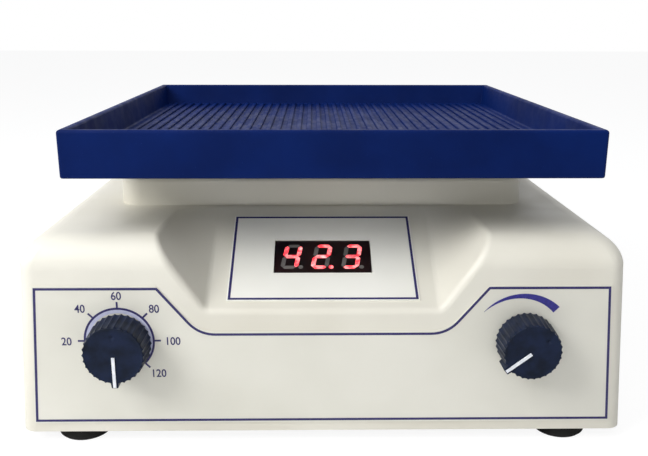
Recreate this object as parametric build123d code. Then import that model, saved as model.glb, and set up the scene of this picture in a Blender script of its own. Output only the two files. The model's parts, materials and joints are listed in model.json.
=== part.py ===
from build123d import *
from math import cos, radians, sin, tan
import os

# Bench-top orbital shaker, in millimetres. +Z is up, the front faces -Y, and z is 0 on the bench.
# Pieces are modelled about the drive axis, and save() moves them all to the footprint's centre.

# Case
case_width = 238.0
case_depth = 240.0
case_height = 81.5
side_draft = 4.1
shoulder_radius = 12.0
shoulder_steps = 6
corner_radius = 6.0
wall = 3.0
boss_radius = 5.0
boss_web = 2.0
boss_height = 17.0
screw_radius = 1.5

# Feet
foot_height = 5.0
foot_radius = 11.0
foot_side_inset = 18.5
foot_end_inset = 11.5
foot_recess_radius = 5.0
foot_recess_depth = 2.0
foot_screw_head = 3.5
foot_screw_length = 14.0

# Raised plinth on the deck
plinth_height = 13.0
plinth_setback = 58.0
plinth_rear_space = 22.0
plinth_side_space = 26.0
plinth_corner = 10.0
plinth_edge = 3.0
plinth_draft = 2.0

# Display recess scooped out of the case's top front edge
panel_drop = 29.0
panel_slope = 28.0
panel_foot_width = 93.0
scoop_width = 132.0
scoop_overrun = 6.0
scoop_flare = 0.5
scoop_rise = 0.5
scoop_edge = 3.0

# Tray
tray_width = 210.0
tray_depth = 210.0
tray_height = 18.7
tray_lift = 9.8
tray_wall = 3.5
tray_corner = 1.5
tray_inner_draft = 6.0
tray_floor_depth = 11.0
tray_floor = 3.5
tray_rib_pitch = 5.0
tray_rib_width = 2.2
tray_rib_height = 1.0
tray_stud_radius = 3.0

# Orbit of the tray, and the crank's angle in the pose shown
orbit_radius = 10.0
rest_angle = -66.5

# Clearances
running = 0.05
press = 0.02
gap = 0.3

# Labels
label_thickness = 0.4
label_top_inset = 5.5
label_bottom_inset = 1.3
label_drop = 18.5
label_bottom = 4.0
label_notch_half = 65.6
label_notch_margin = 8.7
label_notch_foot_half = 42.7
label_notch_bend_x = 53.6
label_bend_margin = 3.5
display_label_width = 77.4
display_label_start = 5.1
display_label_length = 50.0

# Display
led_width = 40.3
led_height = 18.9
led_depth = 8.0
led_along = 30.0
led_board_width = 64.0
led_board_height = 30.0
led_board_screw_x = 27.5
led_board_screw_y = 11.0
board_thickness = 1.6

# Dials
dial_inset = 38.5
dial_height = 40.0
knob_radius = 12.0
knob_taper = 0.5
knob_height = 12.0
knob_standoff = 1.0
knob_bore_depth = 10.0
knob_flutes = 30
knob_flute_radius = 1.0
knob_flute_depth = 0.75
knob_recess_radius = 9.4
knob_recess_depth = 4.5
pointer_start = 1.5
pointer_width = 1.3
pointer_height = 0.5
nub_length = 1.0
nub_width = 3.2
spindle_radius = 3.0
spindle_tail = 8.0
timer_pointer_angle = -90.0
speed_pointer_angle = -142.0
timer_width = 44.0
timer_tall = 40.0
timer_depth = 28.0
timer_corner = 3.0
timer_bushing_radius = 5.0
timer_nut_radius = 8.0
pot_radius = 12.0
pot_depth = 11.0
pot_bushing_radius = 4.5
pot_nut_radius = 7.2
pot_tag_pitch = 5.0
pot_tag_length = 6.0
pot_tag_width = 2.0
pot_tag_thickness = 0.8
bushing_reach = 3.5
nut_thickness = 2.2

# Base plate
plate_thickness = 1.5
vent_length = 34.0
vent_width = 4.0
vent_pitch = 9.0
vent_count = 6

# Chassis plate and main bearing
chassis_thickness = 2.0
chassis_margin = 6.0
chassis_screw_inset = 13.0
chassis_screw_front_space = 58.0
chassis_screw_rear_space = 18.0
shaft_radius = 5.0
shaft_hole_radius = 8.0
bearing_outer = 13.0
bearing_width = 8.0
bearing_lip = 2.0
housing_radius = 17.0
housing_length = 32.0
flange_radius = 29.0
flange_thickness = 4.0
flange_screws = 4
flange_screw_circle = 23.5

# Cranks
crank_radius = 17.0
crank_thickness = 3.8
crank_pin_radius = 4.0
idler_side_space = 25.0
idler_front_space = 20.0
idler_radius = 15.0
journal_radius = 4.0
idler_pin_radius = 3.0
bush_outer = 6.0
bush_flange = 9.0
bush_flange_thickness = 1.0
bush_depth = 12.0
ring_thickness = 0.8
ring_radius = 7.0
open_pivot = 0.3
counterweight_radius = 31.0
counterweight_thickness = 4.0

# Platform under the tray
carrier_margin = 7.0
carrier_thickness = 3.0
carrier_corner = 12.0
carrier_window_radius = 20.0
hub_outer = 15.0
hub_bearing_outer = 11.0
hub_bearing_width = 7.0
boss_outer = 9.0
pin_top_gap = 0.5
stud_inset = 18.0

# Belt drive
motor_rear_space = 45.0
pulley_space = 15.0
small_pulley_radius = 13.0
pulley_width = 9.0
pulley_flange = 2.0
pulley_flange_thickness = 1.2
pulley_below_housing = 19.5
pulley_web = 3.0
pulley_rim = 4.0
pulley_hub_radius = 10.0
pulley_hub_extra = 3.0
pulley_windows = 5
pulley_window_share = 0.55
belt_width = 6.0
belt_thickness = 1.5
motor_radius = 26.0
motor_clearance = 3.5
motor_shaft_radius = 3.0
motor_boss_radius = 9.0
motor_round = 2.0
motor_screw_circle = 19.0
motor_screw_radius = 1.75
motor_screw_depth = 5.0
bracket_thickness = 2.0
bracket_below_pulley = 5.0
bracket_width = 66.0
bracket_depth = 44.0
bracket_foot = 11.0
sensor_gap = 1.5
sensor_width = 10.0
sensor_depth = 8.0
sensor_height = 4.0
sensor_strip = 1.5
sensor_foot = 14.0
magnet_radius = 2.5
magnet_thickness = 2.0

# Boards and transformer
control_board_width = 64.0
control_board_depth = 66.0
board_rear_space = 60.0
board_side_gap = 2.0
board_screw_inset = 4.0
standoff_height = 8.0
standoff_radius = 3.0
transformer_side_gap = 4.0
transformer_rear_space = 75.0
core_width = 48.0
core_depth = 30.0
core_height = 40.0
core_leg = 8.0
bobbin_corner = 3.0
capacitor_radius = 6.0
capacitor_height = 20.0
relay_width = 15.0
relay_depth = 19.0
relay_height = 15.0
sink_width = 26.0
sink_plate = 3.0
sink_fin = 12.0
sink_fin_thickness = 2.0
sink_fins = 5
sink_height = 24.0
terminal_width = 34.0
terminal_depth = 8.0
terminal_height = 9.0

# Rear fittings
inlet_side_space = 41.0
rear_height = 34.0
inlet_width = 27.0
inlet_tall = 19.5
inlet_depth = 17.0
inlet_flange_width = 50.0
inlet_flange_tall = 23.0
inlet_flange_thickness = 2.0
inlet_flange_corner = 5.0
inlet_socket_width = 22.5
inlet_socket_tall = 15.0
inlet_socket_depth = 14.0
inlet_screw_spacing = 40.0
pin_length = 9.0
pin_width = 2.0
pin_tall = 4.0
pin_spacing = 7.0
pin_offset = 2.0
switch_from_inlet = 48.0
switch_width = 13.0
switch_tall = 19.0
switch_depth = 14.0
switch_bezel = 1.5
switch_bezel_thickness = 1.6
switch_tab_length = 8.0
switch_tab_tall = 4.8
switch_tab_thickness = 0.8
switch_tab_spacing = 10.0
rocker_width = 9.6
rocker_radius = 8.0
rocker_tilt = 12.0
rocker_proud = 2.4
rocker_valley = 0.6
rocker_pivot_depth = 3.0
rocker_back = 1.0
rocker_well = 4.9

# Levels and places that follow from the sizes above
foot_x = case_width / 2 - foot_side_inset
foot_y = case_depth / 2 - foot_end_inset
case_bottom = foot_height
deck_level = case_bottom + case_height
shoulder_level = deck_level - shoulder_radius
front = -case_depth / 2
rear = case_depth / 2
plinth_width = case_width - 2 * plinth_side_space
plinth_depth = case_depth - plinth_setback - plinth_rear_space
plinth_front = front + plinth_setback
plinth_y = plinth_front + plinth_depth / 2
plinth_top = deck_level + plinth_height
panel_foot = deck_level - panel_drop
panel_run = panel_drop / tan(radians(panel_slope))
label_top = case_height - label_drop
label_notch_floor = case_height - panel_drop - label_notch_margin
label_notch_bend = case_height - panel_drop - label_bend_margin
label_top_half = case_width / 2 - label_top_inset
label_bottom_half = case_width / 2 - label_bottom_inset
plate_top = case_bottom + plate_thickness
dial_x = case_width / 2 - dial_inset
dial_level = case_bottom + dial_height
vent_x = case_width / 4
vent_y = front / 2
chassis_top = plinth_top - wall
chassis_bottom = chassis_top - chassis_thickness
crank_bottom = plinth_top + bush_flange_thickness + gap
crank_top = crank_bottom + crank_thickness
tray_bottom = plinth_top + tray_lift
tray_top = tray_bottom + tray_height
tray_floor_top = tray_top - tray_floor_depth
tray_floor_bottom = tray_floor_top - tray_rib_height - tray_floor
carrier_bottom = tray_floor_bottom - carrier_thickness
boss_bottom = crank_top + 2 * gap
carrier_width = tray_width - 2 * carrier_margin
carrier_depth = tray_depth - 2 * carrier_margin
pin_x = orbit_radius * cos(radians(rest_angle))
pin_y = orbit_radius * sin(radians(rest_angle))
idler_x = plinth_width / 2 - idler_side_space
idler_y = -plinth_front - idler_front_space
idler_places = {
    "front_left": (-idler_x, -idler_y),
    "front_right": (idler_x, -idler_y),
    "rear_left": (-idler_x, idler_y),
    "rear_right": (idler_x, idler_y),
}
foot_places = {
    "front_left": (-foot_x, -foot_y),
    "front_right": (foot_x, -foot_y),
    "rear_left": (-foot_x, foot_y),
    "rear_right": (foot_x, foot_y),
}
pulley_level = chassis_top - housing_length - pulley_below_housing
bracket_level = pulley_level - bracket_below_pulley
motor_length = bracket_level - plate_top - motor_clearance
motor_distance = rear - motor_rear_space
big_pulley_radius = motor_distance - small_pulley_radius - 2 * pulley_flange - pulley_space
control_board_x = -(bracket_width / 2 + bracket_foot + board_side_gap + control_board_width / 2)
control_board_y = rear - board_rear_space
transformer_x = bracket_width / 2 + bracket_foot + transformer_side_gap + core_width / 2
transformer_y = rear - transformer_rear_space
inlet_x = case_width / 2 - inlet_side_space
switch_x = inlet_x - switch_from_inlet
pulley_top = pulley_level + pulley_width
big_pitch = big_pulley_radius + gap
small_pitch = small_pulley_radius + gap
panel = Plane(
    origin=(0, front, panel_foot),
    x_dir=(1, 0, 0),
    z_dir=(0, -sin(radians(panel_slope)), cos(radians(panel_slope))),
)


def disc(radius, low, high, x=0.0, y=0.0):
    """An upright cylinder between two levels."""
    return Pos(x, y, (low + high) / 2) * Cylinder(radius, high - low)


def slab(width, depth, low, high, x=0.0, y=0.0, corner=0.0):
    """An upright plate between two levels, with rounded corners if asked."""
    face = RectangleRounded(width, depth, corner) if corner else Rectangle(width, depth)
    return extrude(Pos(x, y, low) * face, high - low)


def front_rod(radius, x, height, near, far):
    """A cylinder along Y between two depths."""
    return Pos(x, (near + far) / 2, height) * Rot(90, 0, 0) * Cylinder(radius, abs(far - near))


def hexagon_nut(radius, bore, near, far, x, height):
    """A hexagon nut along Y, with radius to its corners."""
    body = extrude(Plane(origin=(x, far, height), z_dir=(0, -1, 0)) * RegularPolygon(radius, 6), far - near)
    return body - front_rod(bore, x, height, near - 1, far + 1)


def pan_screw(head_radius, head_height, shank_radius, shank_length):
    """A pan-head screw whose head sits on the origin's level, with its shank pointing down."""
    head = extrude(Circle(head_radius), head_height, taper=15)
    return head + Pos(0, 0, -shank_length / 2) * Cylinder(shank_radius, shank_length)


def mirrored(x, y):
    """The four places at plus and minus x and y."""
    return [(i * x, j * y) for i in (-1, 1) for j in (-1, 1)]


# Case


def case_half_width(level):
    """Half the case's width at a level below the shoulder, where the sides flare to the bottom."""
    return case_width / 2 + (shoulder_level - level) * tan(radians(side_draft))


def case_outline(half_width, half_depth, corner, level):
    return Pos(0, 0, level) * RectangleRounded(2 * half_width, 2 * half_depth, corner)


def case_form(inset):
    """The case's outer form, or with an inset the hollow inside it, which runs out of the bottom."""
    half_depth = case_depth / 2 - inset
    corner = corner_radius - inset
    base = case_bottom - inset
    arc = shoulder_radius - inset
    sides = loft([
        case_outline(case_half_width(base) - inset, half_depth, corner, base),
        case_outline(case_half_width(shoulder_level) - inset, half_depth, corner, shoulder_level),
    ], ruled=True)
    steps = [radians(90 * i / shoulder_steps) for i in range(shoulder_steps + 1)]
    top = loft([
        case_outline(
            case_width / 2 - inset - arc * (1 - cos(turn)),
            half_depth - arc * (1 - cos(turn)),
            corner,
            shoulder_level + arc * sin(turn),
        )
        for turn in steps
    ])
    return sides + top


def plinth_form(inset):
    """The raised plinth, or the hollow under it."""
    width = plinth_width - 2 * inset
    depth = plinth_depth - 2 * inset
    foot = deck_level - 2 * wall
    form = extrude(Pos(0, plinth_y, foot) * RectangleRounded(width, depth, plinth_corner - inset),
                   plinth_top - inset - foot, taper=plinth_draft)
    if inset:
        return form
    return fillet(form.faces().sort_by(Axis.Z)[-1].edges(), plinth_edge)


def scoop_section(y, inset, rise):
    """One upright section of the display recess, whose sloping side walls pass through the deck's level."""
    floor = panel_foot + (y - front) * tan(radians(panel_slope)) - inset / cos(radians(panel_slope))
    foot_half = panel_foot_width / 2 + inset / 2
    top_half = scoop_width / 2 + inset
    brim = deck_level - inset
    out = top_half + scoop_flare * (top_half - foot_half)
    up = brim + scoop_flare * (brim - floor) + rise
    points = [(foot_half, floor), (out, up), (out, up + case_height)]
    points += [(-x, z) for x, z in reversed(points)]
    upright = Plane(origin=(0, y, 0), x_dir=(1, 0, 0), z_dir=(0, -1, 0))
    return upright * make_face(Polyline(*points, close=True))


def scoop(inset):
    """The scoop, whose side walls turn from steep at the front to level with the deck behind."""
    near = front - scoop_overrun
    far = front + panel_run
    return loft([scoop_section(near, inset, 0), scoop_section(far, inset, scoop_rise)], ruled=True)


def scoop_edges(form):
    """The recess's edges, all of which are softened in the moulding."""
    reach = scoop_width / 2 + shoulder_radius
    far = front + panel_run
    return [
        edge for edge in form.edges()
        if abs(edge.center().X) < reach and edge.center().Y < far + gap
        and panel_foot - gap < edge.center().Z < deck_level + gap
    ]


def case_bosses():
    """Short pillars on the base plate that take the foot screws, each tied to two walls by a web."""
    pillars = Part()
    top = plate_top + boss_height
    for x, y in foot_places.values():
        side = 1 if x > 0 else -1
        end = 1 if y > 0 else -1
        side_reach = case_half_width(top) - wall / 2 - foot_x
        end_reach = case_depth / 2 - wall / 2 - foot_y
        pillars += disc(boss_radius, plate_top, top, x, y)
        pillars += slab(side_reach, boss_web, plate_top, top, x + side * side_reach / 2, y)
        pillars += slab(boss_web, end_reach, plate_top, top, x, y + end * end_reach / 2)
    return pillars


def display_bosses():
    """Short pillars behind the sloping panel that carry the display's board."""
    low = -led_depth
    high = -wall / 2
    pillars = Part()
    pillar = Cylinder(boss_radius - wall / 2, high - low)
    for x, y in mirrored(led_board_screw_x, led_board_screw_y):
        pillars += panel * Pos(x, led_along + y, (low + high) / 2) * pillar
    return pillars


def display_cuts():
    """The window for the digits, and the pilot holes in the pillars behind it."""
    cuts = panel * Pos(0, led_along, 0) * Box(led_width + 2 * gap, led_height + 2 * gap, 4 * wall)
    for x, y in mirrored(led_board_screw_x, led_board_screw_y):
        cuts += panel * Pos(x, led_along + y, -led_depth) * Cylinder(screw_radius, 2 * (led_depth - wall))
    return cuts


def rear_plate(width, tall, x, near, far, corner):
    """An upright plate with its face to the rear, between two depths."""
    upright = Plane(origin=(x, near, rear_height), x_dir=(-1, 0, 0), z_dir=(0, 1, 0))
    return extrude(upright * RectangleRounded(width, tall, corner), far - near)


def housing_cuts():
    """Every hole through the case for the drive, the dials and the rear fittings."""
    over = wall + 1
    cuts = disc(shaft_hole_radius, chassis_top - 1, plinth_top + 1)
    for x, y in idler_places.values():
        cuts += disc(bush_outer + press, chassis_top - 1, plinth_top + 1, x, y)
    for x, y in chassis_screw_places():
        cuts += disc(screw_radius + gap, chassis_top - 1, plinth_top + 1, x, y)
    cuts += front_rod(timer_bushing_radius + press, -dial_x, dial_level, front - 1, front + over)
    cuts += front_rod(pot_bushing_radius + press, dial_x, dial_level, front - 1, front + over)
    cuts += rear_plate(inlet_width + gap, inlet_tall + gap, inlet_x, rear - over, rear + 1, wall)
    cuts += rear_plate(switch_width + gap, switch_tall + gap, switch_x, rear - over, rear + 1, 1)
    for side in (-1, 1):
        x = inlet_x + side * inlet_screw_spacing / 2
        cuts += front_rod(screw_radius + press, x, rear_height, rear - over, rear + 1)
    for x, y in foot_places.values():
        cuts += disc(screw_radius, plate_top - 1, plate_top + foot_screw_length, x, y)
    return cuts


def make_housing():
    outer = case_form(0) + plinth_form(0) - scoop(0)
    outer = fillet(scoop_edges(outer), scoop_edge)
    hollow = case_form(wall) + plinth_form(wall) - scoop(wall)
    shell = outer - hollow
    return shell + case_bosses() + display_bosses() - display_cuts() - housing_cuts()


def make_base_plate():
    """The sheet-steel floor, let into the case's rim, with cooling slots."""
    half_width = case_half_width(case_bottom) - wall - gap
    half_depth = case_depth / 2 - wall - gap
    plate = slab(2 * half_width, 2 * half_depth, case_bottom, plate_top, corner=corner_radius - wall)
    for side in (-1, 1):
        for row in range(vent_count):
            y = vent_y + (row - (vent_count - 1) / 2) * vent_pitch
            slot = Pos(side * vent_x, y, case_bottom) * SlotOverall(vent_length, vent_width)
            plate -= extrude(slot, 3 * plate_thickness, both=True)
    for x, y in foot_places.values():
        plate -= disc(screw_radius + gap, case_bottom - 1, plate_top + 1, x, y)
    for x, y in bracket_screw_places():
        plate -= disc(screw_radius, case_bottom - 1, plate_top + 1, x, y)
    return plate


def make_foot(x, y):
    """A turned rubber foot with a chamfered tread and a countersunk seat for its screw."""
    profile = Polyline(
        (screw_radius + gap, foot_recess_depth), (foot_recess_radius, foot_recess_depth),
        (foot_recess_radius, 0), (foot_radius - 1, 0), (foot_radius, 1),
        (foot_radius - 1, foot_height), (screw_radius + gap, foot_height), close=True,
    )
    return Pos(x, y, 0) * revolve(Plane.XZ * make_face(profile))


def make_foot_screws():
    """Four screws that hold the feet and the base plate to the pillars."""
    screw = pan_screw(foot_screw_head, foot_recess_depth - gap, screw_radius - press, foot_screw_reach())
    return [Pos(x, y, foot_recess_depth) * Rot(180, 0, 0) * screw for x, y in foot_places.values()]


def foot_screw_reach():
    return foot_height + plate_thickness + foot_screw_length - foot_recess_depth - 1


# Labels and display


def make_control_label():
    """The printed film on the front, notched under the display recess."""
    face = Plane(origin=(0, front, case_bottom), x_dir=(1, 0, 0), z_dir=(0, -1, 0))
    side = [
        (label_bottom_half, label_bottom), (label_top_half, label_top), (label_notch_half, label_top),
        (label_notch_bend_x, label_notch_bend),
    ]
    right = Polyline(*side)
    bend = TangentArc(
        (label_notch_bend_x, label_notch_bend), (label_notch_foot_half, label_notch_floor),
        tangent=(label_notch_bend_x - label_notch_half, label_notch_bend - label_top),
    )
    left = mirror(right, about=Plane.YZ)
    left_bend = mirror(bend, about=Plane.YZ)
    floor = Line((label_notch_foot_half, label_notch_floor), (-label_notch_foot_half, label_notch_floor))
    base = Line((-label_bottom_half, label_bottom), (label_bottom_half, label_bottom))
    film = extrude(face * make_face(right + bend + floor + left_bend + left + base), label_thickness)
    film -= front_rod(timer_bushing_radius + gap, -dial_x, dial_level, front - 1, front + 1)
    return film - front_rod(pot_bushing_radius + gap, dial_x, dial_level, front - 1, front + 1)


def make_display_label():
    """The printed film on the sloping panel, with a window for the digits."""
    middle = display_label_start + display_label_length / 2
    outline = panel * Pos(0, middle) * Rectangle(display_label_width, display_label_length)
    film = extrude(outline, label_thickness)
    return film - panel * Pos(0, led_along, 0) * Box(led_width + 2 * gap, led_height + 2 * gap, 1)


def make_led_display():
    """The digit module, whose face lies level with the panel."""
    return panel * Pos(0, led_along, -led_depth / 2) * Box(led_width, led_height, led_depth)


def make_display_board():
    back = panel * Pos(0, led_along, -led_depth - board_thickness)
    board = extrude(back * RectangleRounded(led_board_width, led_board_height, 2), board_thickness)
    hole = Cylinder(screw_radius + gap, 4 * board_thickness)
    for x, y in mirrored(led_board_screw_x, led_board_screw_y):
        board -= panel * Pos(x, led_along + y, -led_depth) * hole
    return board


def make_display_screws():
    reach = led_depth - wall - 1 + board_thickness
    screw = pan_screw(2 * screw_radius, screw_radius, screw_radius - press, reach)
    return [
        panel * Pos(x, led_along + y, -led_depth - board_thickness) * Rot(180, 0, 0) * screw
        for x, y in mirrored(led_board_screw_x, led_board_screw_y)
    ]


# Dials


def dial_front():
    """Depth of a knob's rear edge, just clear of the label."""
    return front - knob_standoff


def make_knob(x, pointer_angle):
    """A fluted knob, hollow behind to clear its nut and bored for the spindle."""
    face = -knob_height
    rim = knob_radius - knob_taper
    bore = spindle_radius + press
    profile = Polyline(
        (0, face), (rim - 1, face), (rim, face + 1), (knob_radius, 0), (knob_recess_radius, 0),
        (knob_recess_radius, -knob_recess_depth), (bore, -knob_recess_depth),
        (bore, -knob_bore_depth), (0, -knob_bore_depth), close=True,
    )
    knob = revolve(Plane.XZ * make_face(profile))
    flute = Pos(knob_radius + knob_flute_radius - knob_flute_depth, 0, 1 + face / 2) * Cylinder(
        knob_flute_radius, knob_height)
    flutes = [Rot(0, 0, 360 * i / knob_flutes) * flute for i in range(knob_flutes)]
    knob = knob - flutes + rim_nub(pointer_angle) - pointer_slot(pointer_angle, 0)
    return dial_place(x) * knob


def rim_nub(angle):
    """A small wedge on a knob's rim at its pointer's end."""
    near = knob_radius - 2 * nub_length
    far = knob_radius + nub_length
    outline = Polyline(
        (near, nub_width / 2), (far, pointer_width), (far, -pointer_width), (near, -nub_width / 2), close=True,
    )
    return Rot(0, 0, -angle) * extrude(Pos(0, 0, -knob_height) * make_face(outline), knob_height / 2)


def dial_place(x):
    """Where a dial's own +Z axis turns to face the back of the case, from the label's plane."""
    return Location(Plane(origin=(x, dial_front(), dial_level), x_dir=(1, 0, 0), z_dir=(0, 1, 0)))


def pointer_slot(angle, proud):
    """The pointer's bar on a knob's face, running from near its middle out over its rim."""
    length = knob_radius + nub_length - gap - pointer_start
    depth = 2 * pointer_height
    bar = Box(length, pointer_width, depth + proud)
    return Rot(0, 0, -angle) * Pos(pointer_start + length / 2, 0, -knob_height + (depth - proud) / 2) * bar


def make_pointer(x, angle):
    return dial_place(x) * pointer_slot(angle, pointer_height)


def make_spindle(x):
    """A spindle from inside its control's body to inside its knob."""
    tip = dial_front() - knob_bore_depth + gap
    return front_rod(spindle_radius, x, dial_level, tip, front + wall + spindle_tail)


def make_timer_body():
    """The clockwork timer's case with its threaded bushing."""
    depth = front + wall
    box = Plane(origin=(-dial_x, depth, dial_level), x_dir=(-1, 0, 0), z_dir=(0, 1, 0))
    body = extrude(box * RectangleRounded(timer_width, timer_tall, timer_corner), timer_depth)
    body += front_rod(timer_bushing_radius, -dial_x, dial_level, front - bushing_reach, depth)
    return body - spindle_bore(-dial_x)


def spindle_bore(x):
    """The running bore for a spindle, from in front of the bushing to just past the spindle's end."""
    far = front + wall + spindle_tail + gap
    return front_rod(spindle_radius + running, x, dial_level, front - 2 * bushing_reach, far)


def make_potentiometer():
    """The speed control with its threaded bushing and three solder tags."""
    depth = front + wall
    body = front_rod(pot_radius, dial_x, dial_level, depth, depth + pot_depth)
    body += front_rod(pot_bushing_radius, dial_x, dial_level, front - bushing_reach, depth)
    tag = Box(pot_tag_width, pot_tag_thickness, pot_tag_length)
    foot = dial_level - pot_radius - pot_tag_length / 3
    for step in (-1, 0, 1):
        body += Pos(dial_x + pot_tag_pitch * step, depth + wall, foot) * tag
    return body - spindle_bore(dial_x)


def make_nut(x, corner, bore):
    near = front - label_thickness - nut_thickness
    return hexagon_nut(corner, bore + press, near, front - label_thickness, x, dial_level)


# Chassis and main bearing


def chassis_screw_places():
    x = plinth_width / 2 - chassis_screw_inset
    near = plinth_front + chassis_screw_front_space
    far = plinth_front + plinth_depth - chassis_screw_rear_space
    return [(side * x, y) for side in (-1, 1) for y in (near, far)]


def make_chassis_plate():
    """The steel plate under the plinth that carries the main bearing and steadies the bushes."""
    width = plinth_width - 2 * wall - 2 * chassis_margin
    depth = plinth_depth - 2 * wall - 2 * chassis_margin
    plate = slab(width, depth, chassis_bottom, chassis_top, 0, plinth_y, plinth_corner)
    plate -= disc(housing_radius + press, chassis_bottom - 1, chassis_top + 1)
    for x, y in idler_places.values():
        plate -= disc(bush_outer + press, chassis_bottom - 1, chassis_top + 1, x, y)
    for x, y in chassis_screw_places():
        plate -= disc(screw_radius, chassis_bottom - 1, chassis_top + 1, x, y)
    for x, y in flange_screw_places():
        plate -= disc(screw_radius, chassis_bottom - 1, chassis_top + 1, x, y)
    return plate


def flange_screw_places():
    turns = [radians(45 + 360 * i / flange_screws) for i in range(flange_screws)]
    return [(flange_screw_circle * cos(turn), flange_screw_circle * sin(turn)) for turn in turns]


def make_chassis_screws():
    screw = pan_screw(2 * screw_radius, screw_radius, screw_radius - press, wall + chassis_thickness)
    return [Pos(x, y, plinth_top) * screw for x, y in chassis_screw_places()]


def make_bearing_housing():
    """The turned carrier of the two main bearings, hung by its flange under the chassis plate."""
    bottom = chassis_top - housing_length
    body = disc(housing_radius, bottom, chassis_top)
    body += disc(flange_radius, chassis_bottom - flange_thickness, chassis_bottom)
    body -= disc(bearing_outer - bearing_lip, bottom - 1, chassis_top + 1)
    body -= disc(bearing_outer + press, chassis_top - bearing_width, chassis_top + 1)
    body -= disc(bearing_outer + press, bottom - 1, bottom + bearing_width)
    for x, y in flange_screw_places():
        body -= disc(screw_radius + gap, chassis_bottom - flange_thickness - 1, chassis_bottom + 1, x, y)
    return body


def make_flange_screws():
    reach = flange_thickness + chassis_thickness
    screw = pan_screw(2 * screw_radius, screw_radius, screw_radius - press, reach)
    seat = chassis_bottom - flange_thickness
    return [Pos(x, y, seat) * Rot(180, 0, 0) * screw for x, y in flange_screw_places()]


def ball_bearing(bore, outer, bottom, width, x=0.0, y=0.0):
    """A shielded ball bearing with a groove each side between its rings."""
    inner_ring = bore + 0.3 * (outer - bore)
    outer_ring = bore + 0.7 * (outer - bore)
    shield = 0.4
    profile = Polyline(
        (bore, bottom), (inner_ring, bottom), (inner_ring, bottom + shield), (outer_ring, bottom + shield),
        (outer_ring, bottom), (outer, bottom), (outer, bottom + width), (outer_ring, bottom + width),
        (outer_ring, bottom + width - shield), (inner_ring, bottom + width - shield),
        (inner_ring, bottom + width), (bore, bottom + width), close=True,
    )
    return Pos(x, y, 0) * revolve(Plane.XZ * make_face(profile))


def make_main_bearing(bottom):
    return ball_bearing(shaft_radius + running, bearing_outer, bottom, bearing_width)


# Main crank


def make_main_shaft():
    return disc(shaft_radius, pulley_level - pulley_hub_extra, crank_top)


def make_crank_disc():
    """The crank on the main shaft's top, bored for the shaft and, off centre, for the pin."""
    body = chamfer(disc(crank_radius, crank_bottom, crank_top).edges(), gap)
    body -= disc(shaft_radius + press, crank_bottom - 1, crank_top + 1)
    return body - disc(crank_pin_radius - 1 + press, crank_bottom - 1, crank_top + 1, pin_x, pin_y)


def make_crank_pin():
    """The shouldered pin that carries the platform's bearing."""
    head = disc(crank_pin_radius, crank_top, tray_floor_bottom - pin_top_gap, pin_x, pin_y)
    head = chamfer(head.edges().sort_by(Axis.Z)[-1], gap)
    return head + disc(crank_pin_radius - 1, crank_bottom, crank_top, pin_x, pin_y)


def make_counterweight():
    """A steel sector opposite the pin, which balances the loaded platform."""
    low = pulley_top + pulley_hub_extra + gap
    high = low + counterweight_thickness
    away = rest_angle + 180
    half = slab(2 * counterweight_radius, 3 * counterweight_radius, low - 1, high + 1, -counterweight_radius)
    sector = disc(counterweight_radius, low, high) - Rot(0, 0, away) * half
    body = sector + disc(pulley_hub_radius, low, high)
    return body - disc(shaft_radius + press, low - 1, high + 1)


# Idler cranks, which keep the platform from turning


def make_idler_bush(x, y):
    """A flanged bronze bush through the plinth and the chassis plate."""
    body = disc(bush_outer, plinth_top - bush_depth, plinth_top, x, y)
    body += disc(bush_flange, plinth_top, plinth_top + bush_flange_thickness, x, y)
    return body - disc(journal_radius + running, plinth_top - bush_depth - 1, crank_bottom, x, y)


def make_idler_crank(x, y):
    """A forged crank: journal below, disc, and the pin above it off centre."""
    bottom = plinth_top - bush_depth - gap - 2 * ring_thickness
    top = tray_floor_bottom - pin_top_gap
    body = disc(journal_radius, bottom, crank_bottom, x, y)
    body += chamfer(disc(idler_radius, crank_bottom, crank_top, x, y).edges(), gap)
    pin = disc(idler_pin_radius, crank_top - gap, top, x + pin_x, y + pin_y)
    return body + chamfer(pin.edges().sort_by(Axis.Z)[-1], gap)


def make_idler_ring(x, y):
    """The retaining ring under the bush, open on one side."""
    top = plinth_top - bush_depth - gap
    body = disc(ring_radius, top - ring_thickness, top, x, y)
    body -= disc(journal_radius + press, top - 2, top + 1, x, y)
    return body - slab(journal_radius, 2 * ring_radius, top - 2, top + 1, x, y - ring_radius)


# Platform


def make_carrier():
    """The cast platform plate with bosses for the centre bearing and the idlers' bushes."""
    below = boss_bottom - 1
    above = tray_floor_bottom + 1
    plate = slab(carrier_width, carrier_depth, carrier_bottom, tray_floor_bottom, corner=carrier_corner)
    plate += disc(hub_outer, boss_bottom, carrier_bottom)
    plate -= disc(hub_bearing_outer + press, below, above)
    for x, y in idler_places.values():
        plate += disc(boss_outer, boss_bottom, carrier_bottom, x, y)
        plate -= disc(bush_outer + press, below, above, x, y)
    for x, y in mirrored(idler_x / 2, idler_y + carrier_window_radius):
        plate -= disc(carrier_window_radius, below, above, x, y)
    for x, y in tray_stud_places():
        plate -= disc(tray_stud_radius + press, below, above, x, y)
    return Pos(pin_x, pin_y, 0) * plate


def tray_stud_places():
    return mirrored(carrier_width / 2 - stud_inset, carrier_depth / 2 - stud_inset)


def make_platform_bearing():
    bore = crank_pin_radius + running
    return ball_bearing(bore, hub_bearing_outer, boss_bottom, hub_bearing_width, pin_x, pin_y)


def make_platform_bush(x, y):
    """A plain bush in the platform, loose enough on its pin that the five cranks can't bind."""
    body = disc(bush_outer, boss_bottom, tray_floor_bottom)
    body -= disc(idler_pin_radius + open_pivot, boss_bottom - 1, tray_floor_bottom + 1)
    return Pos(x + pin_x, y + pin_y, 0) * body


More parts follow.
